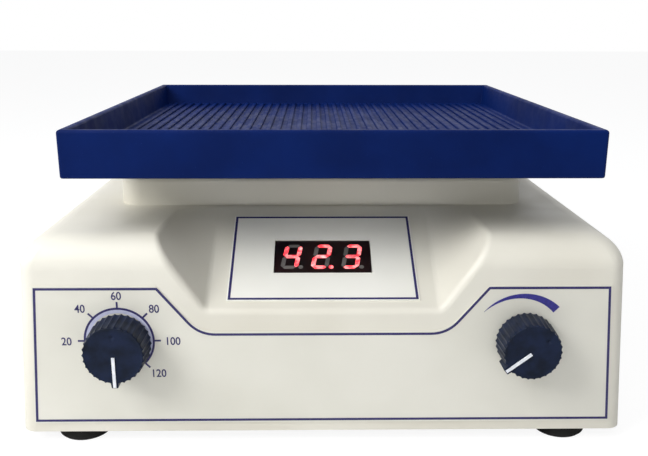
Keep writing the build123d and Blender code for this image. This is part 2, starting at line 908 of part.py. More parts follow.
def make_tray():
    """The moulded rubber tray: sloping inner walls, a ribbed floor, and a skirt that hides the platform."""
    inner_width = tray_width - 2 * tray_wall
    inner_depth = tray_depth - 2 * tray_wall
    floor_base = tray_floor_top - tray_rib_height
    lean = (tray_top - floor_base) * tan(radians(tray_inner_draft))
    body = slab(tray_width, tray_depth, tray_bottom, tray_top, corner=tray_corner)
    body -= loft([
        Pos(0, 0, floor_base) * Rectangle(inner_width - 2 * lean, inner_depth - 2 * lean),
        Pos(0, 0, tray_top) * Rectangle(inner_width, inner_depth),
    ], ruled=True)
    body -= slab(inner_width, inner_depth, tray_bottom - 1, tray_floor_bottom, corner=tray_corner)
    span = inner_width - 2 * lean - 2 * tray_rib_pitch
    count = int(span / tray_rib_pitch) + 1
    first = -(count - 1) / 2 * tray_rib_pitch
    ribs = [
        slab(tray_rib_width, inner_depth - 2 * lean, floor_base, tray_floor_top, first + i * tray_rib_pitch)
        for i in range(count)
    ]
    studs = [
        disc(tray_stud_radius, carrier_bottom, tray_floor_bottom, x, y)
        for x, y in tray_stud_places()
    ]
    return Pos(pin_x, pin_y, 0) * (body + ribs + studs)


# Belt drive


def grooved_pulley(radius, hub_radius, bore):
    """A pulley for a flat belt, with a flange each side, along its own axis from its lower face."""
    rim = radius + pulley_flange
    inner = radius - pulley_rim
    web_low = (pulley_width - pulley_web) / 2
    web_high = web_low + pulley_web
    profile = Polyline(
        (bore, 0), (hub_radius, 0), (hub_radius, web_low), (inner, web_low), (inner, 0), (rim, 0),
        (rim, pulley_flange_thickness), (radius, pulley_flange_thickness),
        (radius, pulley_width - pulley_flange_thickness), (rim, pulley_width - pulley_flange_thickness),
        (rim, pulley_width), (inner, pulley_width), (inner, web_high), (hub_radius, web_high),
        (hub_radius, pulley_width), (bore, pulley_width), close=True,
    )
    return revolve(Plane.XZ * make_face(profile))


def make_drive_pulley():
    """The large pulley with a lightened web and a hub that runs on up the shaft."""
    pulley = grooved_pulley(big_pulley_radius, pulley_hub_radius, shaft_radius + press)
    pulley += disc(pulley_hub_radius, pulley_width, pulley_width + pulley_hub_extra)
    pulley -= disc(shaft_radius + press, -1, pulley_width + pulley_hub_extra + 1)
    middle = magnet_circle()
    window = pulley_window_share * (big_pulley_radius - pulley_rim - pulley_hub_radius) / 2
    for i in range(pulley_windows):
        turn = radians(360 * (i + 0.5) / pulley_windows)
        pulley -= disc(window, 0, pulley_width, middle * cos(turn), middle * sin(turn))
    pulley -= Pos(middle, 0, 0) * Cylinder(magnet_radius + press, 3 * pulley_width)
    return Pos(0, 0, pulley_level) * pulley


def make_pulley_magnet():
    """The magnet that the speed sensor counts."""
    middle = magnet_circle()
    low = pulley_level + (pulley_width - pulley_web) / 2
    return disc(magnet_radius, low - magnet_thickness / 2, low + magnet_thickness, middle, 0)


def make_motor_pulley():
    rim = small_pulley_radius + pulley_flange
    profile = Polyline(
        (motor_shaft_radius + press, 0), (rim, 0), (rim, pulley_flange_thickness),
        (small_pulley_radius, pulley_flange_thickness),
        (small_pulley_radius, pulley_width - pulley_flange_thickness),
        (rim, pulley_width - pulley_flange_thickness), (rim, pulley_width),
        (motor_shaft_radius + press, pulley_width), close=True,
    )
    return Pos(0, motor_distance, pulley_level) * revolve(Plane.XZ * make_face(profile))


def belt_face(extra):
    """The stretched loop's outline round both pulleys, grown by an amount."""
    big = Pos(0, 0) * Circle(big_pitch + extra)
    small = Pos(0, motor_distance) * Circle(small_pitch + extra)
    return make_hull(big.edges() + small.edges())


def make_belt():
    low = pulley_level + (pulley_width - belt_width) / 2
    loop = belt_face(belt_thickness) - belt_face(0)
    return extrude(Pos(0, 0, low) * loop, belt_width)


def make_motor_shaft():
    return disc(motor_shaft_radius, bracket_level - motor_length / 2, pulley_top + 1, 0, motor_distance)


def make_motor():
    """The motor's can, its stepped cap and the boss that centres it in the bracket."""
    bottom = bracket_level - motor_length
    can = disc(motor_radius, bottom, bracket_level, 0, motor_distance)
    can = fillet(can.edges().sort_by(Axis.Z)[0], motor_round)
    can += disc(motor_boss_radius, bracket_level, bracket_level + bracket_thickness, 0, motor_distance)
    shaft_end = bracket_level - motor_length / 2 - gap
    can -= disc(motor_shaft_radius + running, shaft_end, pulley_level, 0, motor_distance)
    for x, y in motor_screw_places():
        can -= disc(motor_screw_radius, bracket_level - motor_screw_depth - 1, bracket_level + 1, x, y)
    return can


def motor_screw_places():
    offset = motor_screw_circle * cos(radians(45))
    return [(x, motor_distance + y) for x, y in mirrored(offset, offset)]


def make_motor_bracket():
    """A folded steel bridge over the motor, with a foot each side on the base plate."""
    side = bracket_width / 2
    out = side + bracket_foot
    t = bracket_thickness
    top = bracket_level + t
    profile = Polyline(
        (-out, plate_top), (-side, plate_top), (-side, bracket_level),
        (side, bracket_level), (side, plate_top), (out, plate_top),
        (out, plate_top + t), (side + t, plate_top + t), (side + t, top),
        (-side - t, top), (-side - t, plate_top + t), (-out, plate_top + t), close=True,
    )
    near = motor_distance - bracket_depth / 2
    face = Plane(origin=(0, near, 0), x_dir=(1, 0, 0), z_dir=(0, -1, 0)) * make_face(profile)
    bridge = extrude(face, -bracket_depth)
    bridge -= disc(motor_boss_radius + press, bracket_level - 1, top + 1, 0, motor_distance)
    for x, y in motor_screw_places():
        bridge -= disc(motor_screw_radius + gap, bracket_level - 1, top + 1, x, y)
    for x, y in bracket_screw_places():
        bridge -= disc(screw_radius + gap, plate_top - 1, plate_top + t + 1, x, y)
    return bridge


def make_motor_screws():
    reach = bracket_thickness + motor_screw_depth
    screw = pan_screw(1.8 * motor_screw_radius, motor_screw_radius, motor_screw_radius - press, reach)
    return [Pos(x, y, bracket_level + bracket_thickness) * screw for x, y in motor_screw_places()]


def bracket_screw_places():
    x = (bracket_width + bracket_foot + bracket_thickness) / 2
    return [(i * x, motor_distance + j * bracket_depth / 3) for i in (-1, 1) for j in (-1, 1)]


def make_bracket_screws():
    """Screws through the bracket's feet and the base plate."""
    reach = bracket_thickness + plate_thickness
    screw = pan_screw(2 * screw_radius, screw_radius, screw_radius - press, reach)
    return [Pos(x, y, plate_top + bracket_thickness) * screw for x, y in bracket_screw_places()]


def magnet_circle():
    """How far the magnet stands from the drive axis, halfway across the pulley's web."""
    return (big_pulley_radius - pulley_rim + pulley_hub_radius) / 2


def make_speed_sensor():
    """A sensor head on a bent strip that stands on the base plate under the drive pulley."""
    x = magnet_circle()
    top = pulley_level + (pulley_width - pulley_web) / 2 - magnet_thickness / 2 - sensor_gap
    back = sensor_depth / 2
    strip = slab(sensor_width, sensor_foot, plate_top, plate_top + sensor_strip, x, back - sensor_foot / 2)
    strip += slab(sensor_width, sensor_strip, plate_top, top, x, back - sensor_strip / 2)
    return strip + slab(sensor_width, sensor_depth, top - sensor_height, top, x)


# Boards and transformer


def control_screw_places():
    half_x = control_board_width / 2 - board_screw_inset
    half_y = control_board_depth / 2 - board_screw_inset
    return [(control_board_x + x, control_board_y + y) for x, y in mirrored(half_x, half_y)]


def make_control_board():
    low = plate_top + standoff_height
    return slab(control_board_width, control_board_depth, low, low + board_thickness,
                control_board_x, control_board_y, 2)


def make_standoffs():
    return [
        extrude(Pos(x, y, plate_top) * RegularPolygon(standoff_radius, 6), standoff_height)
        for x, y in control_screw_places()
    ]


def make_board_parts():
    """The tallest components on the control board: capacitors, relay, heat sink and terminals."""
    seat = plate_top + standoff_height + board_thickness
    left = -control_board_width / 2 + 2 * capacitor_radius
    back = control_board_depth / 2 - relay_depth
    near = -control_board_depth / 2 + terminal_depth
    capacitor_top = seat + capacitor_height
    pitch = 2.5 * capacitor_radius
    parts = [disc(capacitor_radius, seat, capacitor_top, left + i * pitch, back) for i in range(2)]
    parts.append(slab(relay_width, relay_depth, seat, seat + relay_height, relay_width, back, 1))
    parts.append(Pos(left + sink_width / 3, 0, 0) * heat_sink(seat))
    top = seat + terminal_height
    parts.append(slab(terminal_width, terminal_depth, seat, top, terminal_depth, near, 1))
    return [Pos(control_board_x, control_board_y, 0) * part for part in parts]


def heat_sink(seat):
    """An extruded heat sink: a plate with a row of fins in front of it."""
    top = seat + sink_height
    sink = slab(sink_width, sink_plate, seat, top)
    pitch = (sink_width - sink_fin_thickness) / (sink_fins - 1)
    for i in range(sink_fins):
        x = (i - (sink_fins - 1) / 2) * pitch
        sink += slab(sink_fin_thickness, sink_fin, seat, top, x, -sink_fin / 2)
    return sink


def transformer_window():
    """Width of the core's window each side of its middle limb."""
    return (core_width - 4 * core_leg) / 2


def make_transformer_core():
    """The stacked E and I plates, with a window each side of the middle limb."""
    top = plate_top + core_height
    core = slab(core_width, core_depth, plate_top, top)
    width = transformer_window()
    for side in (-1, 1):
        x = side * (core_leg + width / 2)
        core -= slab(width, core_depth + 2, plate_top + core_leg, top - core_leg, x)
    return Pos(transformer_x, transformer_y, 0) * core


def make_transformer_bobbin():
    """The wound bobbin round the middle limb."""
    low = plate_top + core_leg + gap
    high = plate_top + core_height - core_leg - gap
    width = 2 * (core_leg + transformer_window() - gap)
    depth = core_depth + 2 * transformer_window()
    body = slab(width, depth, low, high, corner=bobbin_corner)
    body -= slab(2 * (core_leg + press), core_depth + 2 * press, low - 1, high + 1)
    return Pos(transformer_x, transformer_y, 0) * body


# Rear fittings


def make_power_inlet():
    """A standard three-pin inlet in a flanged moulding."""
    face = rear + inlet_flange_thickness
    body = rear_plate(inlet_width, inlet_tall, inlet_x, rear - inlet_depth, rear, wall)
    body += rear_plate(inlet_flange_width, inlet_flange_tall, inlet_x, rear, face, inlet_flange_corner)
    socket_floor = face - inlet_socket_depth
    body -= rear_plate(inlet_socket_width, inlet_socket_tall, inlet_x, socket_floor, face + 1, wall)
    for side in (-1, 1):
        x = inlet_x + side * inlet_screw_spacing / 2
        body -= front_rod(screw_radius + gap, x, rear_height, rear - 1, face + 1)
    return body


def make_inlet_pins():
    """The three contact blades standing in the inlet's socket, the middle one higher."""
    middle = rear + inlet_flange_thickness - inlet_socket_depth + pin_length / 2
    blade = Box(pin_width, pin_length, pin_tall)
    return [
        Pos(inlet_x + step * pin_spacing, middle, rear_height + pin_offset * (1 - 2 * abs(step))) * blade
        for step in (-1, 0, 1)
    ]


def make_inlet_screws():
    reach = wall + inlet_flange_thickness
    screw = pan_screw(2 * screw_radius, screw_radius - gap, screw_radius - press, reach)
    seat = rear + inlet_flange_thickness
    return [
        Pos(inlet_x + side * inlet_screw_spacing / 2, seat, rear_height) * Rot(-90, 0, 0) * screw
        for side in (-1, 1)
    ]


def make_switch_body():
    """The rocker switch's frame, snapped into the rear wall, with its two tabs behind."""
    face = rear + switch_bezel_thickness
    bezel = 2 * switch_bezel
    body = rear_plate(switch_width, switch_tall, switch_x, rear - switch_depth, rear, 1)
    body += rear_plate(switch_width + bezel, switch_tall + bezel, switch_x, rear, face, 1)
    body -= rear_plate(rocker_width + 2 * gap, 2 * (rocker_radius + gap), switch_x,
                       rear - rocker_well, face + 1, gap)
    tab = Box(switch_tab_thickness, switch_tab_length, switch_tab_tall)
    for side in (-1, 1):
        z = rear_height + side * switch_tab_spacing / 2
        body += Pos(switch_x, rear - switch_depth - switch_tab_length / 2, z) * tab
    return body


def rocker_pivot():
    return rear + switch_bezel_thickness - rocker_pivot_depth


def make_rocker():
    """The rocker: two flats that meet in a shallow valley, with round ends about its pivot."""
    tip = rocker_pivot_depth + rocker_proud
    dip = rocker_pivot_depth + rocker_valley
    reach = rocker_radius + 1
    flats = make_face(Polyline(
        (-rocker_back, -reach), (tip, -reach), (dip, 0), (tip, reach), (-rocker_back, reach), close=True,
    ))
    outline = Rot(0, 0, rocker_tilt) * (Circle(rocker_radius) & flats)
    side = Plane(
        origin=(switch_x - rocker_width / 2, rocker_pivot(), rear_height), x_dir=(0, 1, 0), z_dir=(1, 0, 0),
    )
    return extrude(side * outline, rocker_width)


def build():
    """Every node of the shaker by name, about the drive axis."""
    nodes = {
        "housing": make_housing(),
        "base_plate": make_base_plate(),
        "feet": [make_foot(x, y) for x, y in foot_places.values()],
        "foot_screws": make_foot_screws(),
        "control_label": make_control_label(),
        "display_label": make_display_label(),
        "led_display": make_led_display(),
        "display_board": make_display_board(),
        "display_screws": make_display_screws(),
        "timer_body": make_timer_body(),
        "timer_nut": make_nut(-dial_x, timer_nut_radius, timer_bushing_radius),
        "timer_spindle": make_spindle(-dial_x),
        "timer_knob": make_knob(-dial_x, timer_pointer_angle),
        "timer_pointer": make_pointer(-dial_x, timer_pointer_angle),
        "speed_control": make_potentiometer(),
        "speed_nut": make_nut(dial_x, pot_nut_radius, pot_bushing_radius),
        "speed_spindle": make_spindle(dial_x),
        "speed_knob": make_knob(dial_x, speed_pointer_angle),
        "speed_pointer": make_pointer(dial_x, speed_pointer_angle),
        "chassis_plate": make_chassis_plate(),
        "chassis_screws": make_chassis_screws() + make_flange_screws(),
        "bearing_housing": make_bearing_housing(),
        "main_bearings": [make_main_bearing(chassis_top - drop) for drop in (bearing_width, housing_length)],
        "main_shaft": make_main_shaft(),
        "crank_disc": make_crank_disc(),
        "crank_pin": make_crank_pin(),
        "counterweight": make_counterweight(),
        "drive_pulley": make_drive_pulley(),
        "pulley_magnet": make_pulley_magnet(),
        "drive_belt": make_belt(),
        "motor_pulley": make_motor_pulley(),
        "motor_shaft": make_motor_shaft(),
        "motor": make_motor(),
        "motor_bracket": make_motor_bracket(),
        "motor_screws": make_motor_screws(),
        "bracket_screws": make_bracket_screws(),
        "speed_sensor": make_speed_sensor(),
        "platform": make_carrier(),
        "platform_bearing": make_platform_bearing(),
        "tray": make_tray(),
        "idler_bushes": [make_idler_bush(x, y) for x, y in idler_places.values()],
        "platform_bushes": [make_platform_bush(x, y) for x, y in idler_places.values()],
        "control_board": make_control_board(),
        "board_standoffs": make_standoffs(),
        "board_components": make_board_parts(),
        "transformer_core": make_transformer_core(),
        "transformer_bobbin": make_transformer_bobbin(),
        "power_inlet": make_power_inlet(),
        "inlet_pins": make_inlet_pins(),
        "inlet_screws": make_inlet_screws(),
        "power_switch": make_switch_body(),
        "power_rocker": make_rocker(),
    }
    for name, (x, y) in idler_places.items():
        nodes["idler_" + name] = make_idler_crank(x, y)
        nodes["ring_" + name] = make_idler_ring(x, y)
    return {name: piece if isinstance(piece, list) else [piece] for name, piece in nodes.items()}


def footprint_shift(nodes):
    """The move that puts the footprint's centre at the origin, for the dials stand out in front."""
    solids = [solid for pieces in nodes.values() for piece in pieces for solid in piece.solids()]
    box = Compound(children=solids).bounding_box()
    return Pos(-(box.min.X + box.max.X) / 2, -(box.min.Y + box.max.Y) / 2, 0)


def save(nodes):
    os.makedirs("parts", exist_ok=True)
    shift = footprint_shift(nodes)
    print("The drive axis lies", shift.position.Y, "mm behind the footprint's centre")
    for name, pieces in nodes.items():
        solids = [shift * solid for piece in pieces for solid in piece.solids()]
        export_step(solids[0] if len(solids) == 1 else Compound(children=solids), "parts/" + name + ".step")


save(build())
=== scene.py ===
import json
import math

import bmesh
import bpy
from mathutils import Matrix, Vector


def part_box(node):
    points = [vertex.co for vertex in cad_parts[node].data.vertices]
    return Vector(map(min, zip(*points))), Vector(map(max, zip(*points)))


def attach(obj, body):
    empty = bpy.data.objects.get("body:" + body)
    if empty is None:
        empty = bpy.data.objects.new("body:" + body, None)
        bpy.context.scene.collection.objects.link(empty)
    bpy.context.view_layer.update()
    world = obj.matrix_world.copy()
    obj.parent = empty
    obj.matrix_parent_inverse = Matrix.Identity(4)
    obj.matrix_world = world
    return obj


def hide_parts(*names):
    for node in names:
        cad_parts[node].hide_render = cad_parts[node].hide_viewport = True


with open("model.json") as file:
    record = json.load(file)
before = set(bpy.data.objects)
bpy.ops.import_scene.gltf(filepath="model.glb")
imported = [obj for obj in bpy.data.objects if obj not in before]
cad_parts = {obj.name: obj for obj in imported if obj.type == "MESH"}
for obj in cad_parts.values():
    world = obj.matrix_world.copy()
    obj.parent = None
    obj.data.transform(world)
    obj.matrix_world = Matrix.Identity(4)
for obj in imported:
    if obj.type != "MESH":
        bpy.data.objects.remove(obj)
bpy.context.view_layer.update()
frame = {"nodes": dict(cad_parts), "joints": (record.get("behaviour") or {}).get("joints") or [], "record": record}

# Bench-top orbital shaker, in metres and in the CAD's own frame.
# Pieces take their places from the CAD nodes' boxes. The front's printing is measured across from
# the case's middle and up from the case's bottom. mm turns a real size into metres.


def mm(*sizes):
    """Millimetres as metres: one number, or a vector of three."""
    return sizes[0] / 1000 if len(sizes) == 1 else Vector(sizes) / 1000


def low(node):
    """The left, front and bottom of a CAD node's box."""
    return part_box(node)[0]


def high(node):
    """The right, back and top of a CAD node's box."""
    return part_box(node)[1]


def middle(node):
    return (low(node) + high(node)) / 2


# Meshes

# A mitre is drawn out by one over a cosine, which is held at this value or above.
LEAST_MITRE_COSINE = 0.3


def mesh_from(name, build):
    """A mesh object at the origin, filled by a function that works on a bmesh."""
    body = bmesh.new()
    build(body)
    bmesh.ops.recalc_face_normals(body, faces=body.faces)
    mesh = bpy.data.meshes.new(name)
    body.to_mesh(mesh)
    body.free()
    return link(name, mesh)


def link(name, data):
    """A new object in the scene for a mesh, a text, a lamp or a camera."""
    piece = bpy.data.objects.new(name, data)
    bpy.context.collection.objects.link(piece)
    return piece


def plain_mesh(piece):
    """The piece's mesh as it shows, with its modifiers or its text worked out. The piece goes."""
    bpy.context.view_layer.update()
    mesh = bpy.data.meshes.new_from_object(piece.evaluated_get(bpy.context.evaluated_depsgraph_get()))
    bpy.data.objects.remove(piece)
    return mesh


def smooth(piece, degrees=35):
    """Smooth shading, broken at edges sharper than an angle."""
    piece.data.shade_smooth()
    piece.data.set_sharp_from_angle(angle=math.radians(degrees))
    return piece


def bridge(body, near, far):
    """Quads between two loops of the same number of points."""
    count = len(near)
    for i in range(count):
        j = (i + 1) % count
        body.faces.new((near[i], near[j], far[j], far[i]))


def skin(body, loops, closed=False):
    """Joins loops of the same number of points, and closes both ends or the ring."""
    rings = [[body.verts.new(point) for point in loop] for loop in loops]
    if closed:
        bridge(body, rings[-1], rings[0])
    else:
        body.faces.new(rings[0])
        body.faces.new(rings[-1])
    for near, far in zip(rings, rings[1:]):
        bridge(body, near, far)


def lathe(body, profile, place, segments):
    """Turns a profile of (radius, height) points about its own axis, from pole to pole."""
    turns = [math.tau * i / segments for i in range(segments)]
    rings = []
    for radius, height in profile[1:-1]:
        loop = [Vector((radius * math.cos(turn), radius * math.sin(turn), height)) for turn in turns]
        rings.append([body.verts.new(place @ point) for point in loop])
    for near, far in zip(rings, rings[1:]):
        bridge(body, near, far)
    for ring, (_, height) in ((rings[0], profile[0]), (rings[-1], profile[-1])):
        pole = body.verts.new(place @ Vector((0, 0, height)))
        for i in range(segments):
            body.faces.new((ring[i], ring[(i + 1) % segments], pole))


def arc(centre, radius, start, end, steps):
    """Points of an arc in a plane, between two angles in degrees."""
    turns = [math.radians(start + (end - start) * i / steps) for i in range(steps + 1)]
    return [(centre[0] + radius * math.cos(turn), centre[1] + radius * math.sin(turn)) for turn in turns]


def circle(centre, radius, count):
    """A ring of points, without the first one again at its end."""
    return arc(centre, radius, 0, 360 - 360 / count, count - 1)


def unit(a, b):
    """The direction from one flat point to another."""
    return Vector((b[0] - a[0], b[1] - a[1])).normalized()


def ribbon(body, points, widths, place, thickness, closed=False):
    """A thin band of ink along flat points, mitred at its corners, raised by a thickness."""
    count = len(points)
    stations = []
    for i, point in enumerate(points):
        before = points[(i - 1) % count] if closed or i else None
        after = points[(i + 1) % count] if closed or i < count - 1 else None
        into = unit(before, point) if before else unit(point, after)
        out = unit(point, after) if after else into
        normal = Vector((-into[1] - out[1], into[0] + out[0])).normalized()
        reach = widths[i] / 2 / max(LEAST_MITRE_COSINE, normal.dot(Vector((-into[1], into[0]))))
        left, right = [(point[0] + side * reach * normal.x, point[1] + side * reach * normal.y)
                       for side in (1, -1)]
        section = ((left, 0), (left, thickness), (right, thickness), (right, 0))
        stations.append([place(*edge, lift) for edge, lift in section])
    skin(body, stations, closed)


def prism(body, outline, place, lower, upper):
    """A flat outline drawn out between two lifts off its surface."""
    skin(body, [[place(x, y, lift) for x, y in outline] for lift in (lower, upper)])


# Node trees


def add(tree, kind, inputs=None, **settings):
    """Adds one node with its settings. Its inputs are linked to sockets or set to plain values."""
    node = tree.nodes.new(kind)
    for name, value in settings.items():
        setattr(node, name, value)
    for name, value in (inputs or {}).items():
        if isinstance(value, bpy.types.NodeSocket):
            tree.links.new(value, node.inputs[name])
        else:
            node.inputs[name].default_value = value
    return node


def result(tree, kind, inputs=None, **settings):
    """The first output of a new node."""
    return add(tree, kind, inputs, **settings).outputs[0]


def reckon(tree, operation, *terms):
    """The result of one sum on numbers, which are sockets or plain values."""
    return result(tree, "ShaderNodeMath", dict(enumerate(terms)), operation=operation)


def reckon_vector(tree, operation, *terms):
    """The result of one sum on vectors, which are sockets or plain values."""
    return result(tree, "ShaderNodeVectorMath", dict(enumerate(terms)), operation=operation)


def shape_tree(name, sizes):
    """A geometry tree with a mesh input, named size inputs and a mesh output."""
    tree = bpy.data.node_groups.new(name, "GeometryNodeTree")
    tree.interface.new_socket("Mesh", in_out="INPUT", socket_type="NodeSocketGeometry")
    for label, kind in {**sizes, "Material": "Material"}.items():
        tree.interface.new_socket(label, in_out="INPUT", socket_type="NodeSocket" + kind)
    tree.interface.new_socket("Mesh", in_out="OUTPUT", socket_type="NodeSocketGeometry")
    return tree, add(tree, "NodeGroupInput").outputs


def close_tree(tree, mesh, given):
    """Ends a tree by making its instances real and setting their material."""
    real = result(tree, "GeometryNodeRealizeInstances", {0: mesh})
    painted = result(tree, "GeometryNodeSetMaterial", {"Geometry": real, "Material": given["Material"]})
    add(tree, "NodeGroupOutput", {0: painted})
    return tree


def grown(piece, tree, sizes):
    """The piece as the tree shapes it, as a plain mesh with no modifier left."""
    modifier = piece.modifiers.new(tree.name, "NODES")
    modifier.node_group = tree
    names = {item.name: item.identifier for item in tree.interface.items_tree if item.in_out == "INPUT"}
    for label, value in sizes.items():
        modifier[names[label]] = value
    piece.update_tag()
    name = piece.name
    mesh = plain_mesh(piece)
    mesh.name = name
    return link(name, mesh)


def points_piece(name, points):
    """Loose points for a tree to put instances on, or none for a tree that makes its own."""
    mesh = bpy.data.meshes.new(name)
    mesh.from_pydata([tuple(point) for point in points], [], [])
    return link(name, mesh)


# Finishes

# Noise seldom leaves this range, so a pattern is spread over it.
NOISE_LOW = 0.35
NOISE_HIGH = 0.65


def colour(code):
    """An sRGB hex code as a linear colour."""
    parts = [int(code[i:i + 2], 16) / 255 for i in (0, 2, 4)]
    return tuple(c / 12.92 if c <= 0.04045 else ((c + 0.055) / 1.055) ** 2.4 for c in parts) + (1.0,)


def finish(name, **settings):
    """A material with its shader, ready for its patterns."""
    made = bpy.data.materials.new(name)
    made.use_nodes = True
    shader = made.node_tree.nodes["Principled BSDF"]
    for label, value in settings.items():
        shader.inputs[label.replace("_", " ")].default_value = value
    return made, made.node_tree, shader


def object_place(tree):
    """Where a point is, in its piece's own frame."""
    return add(tree, "ShaderNodeTexCoord").outputs["Object"]


def noise(tree, period, detail=2.0, stretch=(1, 1, 1)):
    """Noise whose patches are about one period across, drawn out along an axis by a small stretch."""
    place = result(tree, "ShaderNodeMapping", {"Scale": stretch, "Vector": object_place(tree)})
    return result(tree, "ShaderNodeTexNoise", {"Scale": 1 / period, "Detail": detail, "Vector": place})


def between(tree, factor, first, second, start=NOISE_LOW, end=NOISE_HIGH):
    """One number that goes from first to second as a pattern goes from start to end."""
    return result(tree, "ShaderNodeMapRange", {0: factor, 1: start, 2: end, 3: first, 4: second})


def blend(tree, share, first, second):
    """A share of the second colour in the first."""
    return add(tree, "ShaderNodeMix", {0: share, 6: first, 7: second}, data_type="RGBA").outputs[2]


def tones(tree, factor, dark, light, start=NOISE_LOW, end=NOISE_HIGH):
    """A colour that goes from dark to light as a pattern goes from start to end."""
    return blend(tree, between(tree, factor, 0.0, 1.0, start, end), colour(dark), colour(light))


def relief(tree, shader, factor, height, strength):
    """Bump of a real height in metres."""
    bump = result(tree, "ShaderNodeBump", {"Distance": height, "Strength": strength, "Height": factor})
    paint(tree, shader, "Normal", bump)


def paint(tree, shader, label, socket):
    tree.links.new(socket, shader.inputs[label])


def patterned(name, tone, matt=None, grain=None, **settings):
    """A finish of two mixed tones, with varying roughness and with relief where they are given.

    tone is dark, light and a noise. matt is least, most and a noise. grain is height, strength
    and a noise. A noise is its period, its detail and its stretch.
    """
    made, tree, shader = finish(name, **settings)
    dark, light, *mottle = tone
    paint(tree, shader, "Base Color", tones(tree, noise(tree, *mottle), dark, light))
    if matt:
        least, most, *patches = matt
        paint(tree, shader, "Roughness", between(tree, noise(tree, *patches), least, most))
    if grain:
        height, strength, *bumps = grain
        relief(tree, shader, noise(tree, *bumps), height, strength)
    return made


def moulded_abs():
    """Injection-moulded ABS in ivory: a soft satin, a faint grain, and tone that drifts over the case."""
    tone = ("DBD7C9", "E5E2D6", mm(70))
    # The mould's spark-eroded grain is about 0.1 mm, drawn at 0.9 mm so that it shows.
    grain = (mm(0.02), 0.5, mm(0.9))
    return patterned("Moulded ivory ABS", tone, (0.38, 0.5, mm(18), 3), grain, IOR=1.53)


def printed_polyester(name, dark, light):
    """Polyester film with a fine matt coat, in a warm white."""
    return patterned(name, (dark, light, mm(45)), (0.34, 0.46, mm(9), 3), (mm(0.008), 0.4, mm(0.7), 1),
                     IOR=1.57)


def screen_ink(name, dark, light):
    """Screen-printed ink: nearly flat, with the mesh's faint mottle."""
    return patterned(name, (dark, light, mm(1.2)), IOR=1.5)


def tray_rubber():
    """Moulded blue rubber: deep and saturated, nearly without gloss, with fine dust and a moulded skin."""
    made, tree, shader = finish("Moulded blue rubber", IOR=1.5, Specular_IOR_Level=0.05)
    body = tones(tree, noise(tree, mm(30), 4), "061A4E", "08205B")
    dust = between(tree, noise(tree, mm(0.9)), 0.0, 0.5, start=0.68, end=0.78)
    paint(tree, shader, "Base Color", blend(tree, dust, body, colour("243A74")))
    paint(tree, shader, "Roughness", between(tree, noise(tree, mm(8), 3), 0.42, 0.58))
    relief(tree, shader, noise(tree, mm(1.1), 3), mm(0.03), 0.5)
    return made


def knob_plastic():
    """Moulded phenolic in navy: dark, semi-gloss, with fine handling marks."""
    return patterned("Moulded navy phenolic", ("0D1626", "16213A", mm(5), 3),
                     (0.28, 0.44, mm(1.5), 4, (1, 0.2, 1)), (mm(0.01), 0.5, mm(0.6)),
                     IOR=1.6, Specular_IOR_Level=0.1)


def pointer_paint():
    """White paint filled into the pointer's groove."""
    return patterned("White filled paint", ("DFE3EA", "F2F4F7", mm(2)), Roughness=0.45)


def black_rubber(name, dark, light, period):
    """Moulded black rubber with a bloom that greys it in patches."""
    return patterned(name, (dark, light, period, 4), None, (mm(0.03), 0.6, period / 6),
                     Roughness=0.75, IOR=1.52, Specular_IOR_Level=0.2)


def satin_metal(name, dark, light, roughness, stretch, period):
    """Bare or plated metal whose rolling, turning or blasting leaves streaks along one direction."""
    made, tree, shader = finish(name, Metallic=1.0)
    streaks = noise(tree, period, 4, stretch)
    paint(tree, shader, "Base Color", tones(tree, streaks, dark, light))
    paint(tree, shader, "Roughness", between(tree, streaks, roughness - 0.08, roughness + 0.1))
    relief(tree, shader, streaks, mm(0.01), 0.5)
    return made


def sintered_bronze():
    """Oil-filled sintered bronze: brown gold with open pores."""
    made, tree, shader = finish("Sintered bronze", Metallic=1.0, Roughness=0.45)
    pores = noise(tree, mm(0.5), 3)
    paint(tree, shader, "Base Color", tones(tree, pores, "6E5228", "B48A4A", start=0.3, end=0.5))
    relief(tree, shader, pores, mm(0.03), 0.6)
    return made


def solder_mask():
    """Glass-fibre board under green solder mask, with copper tracks that show as paler lines."""
    made, tree, shader = finish("Green solder mask", IOR=1.55)
    tracks = result(tree, "ShaderNodeTexBrick", {
        "Color1": colour("14572E"), "Color2": colour("185F34"), "Mortar": colour("2E8A4E"),
        "Scale": 1.0, "Mortar Size": mm(0.35), "Brick Width": mm(9), "Row Height": mm(2.5),
        "Vector": object_place(tree),
    })
    paint(tree, shader, "Base Color", tracks)
    paint(tree, shader, "Roughness", between(tree, noise(tree, mm(3)), 0.24, 0.4))
    return made


def component_cases():
    """Sleeved capacitors, moulded relay and terminals: dark plastics that differ from case to case."""
    made, tree, shader = finish("Moulded component cases", IOR=1.55)
    cells = add(tree, "ShaderNodeTexVoronoi", {"Scale": 1 / mm(26), "Vector": object_place(tree)})
    shade = result(tree, "ShaderNodeSeparateColor", {0: cells.outputs["Color"]})
    paint(tree, shader, "Base Color", tones(tree, shade, "16181C", "1F3A63", start=0.2, end=0.8))
    paint(tree, shader, "Roughness", between(tree, noise(tree, mm(4), 3), 0.32, 0.5))
    return made


def laminations():
    """A stack of varnished electrical-steel plates, each half a millimetre thick, drawn at 1.2 mm."""
    made, tree, shader = finish("Varnished steel plates", Metallic=0.6, Roughness=0.5)
    along = add(tree, "ShaderNodeSeparateXYZ", {0: object_place(tree)}).outputs["Y"]
    plates = reckon(tree, "SINE", reckon(tree, "MULTIPLY", along, math.tau / mm(1.2)))
    paint(tree, shader, "Base Color", tones(tree, plates, "2B2724", "5A534C", start=-0.8, end=0.8))
    relief(tree, shader, plates, mm(0.08), 0.7)
    return made


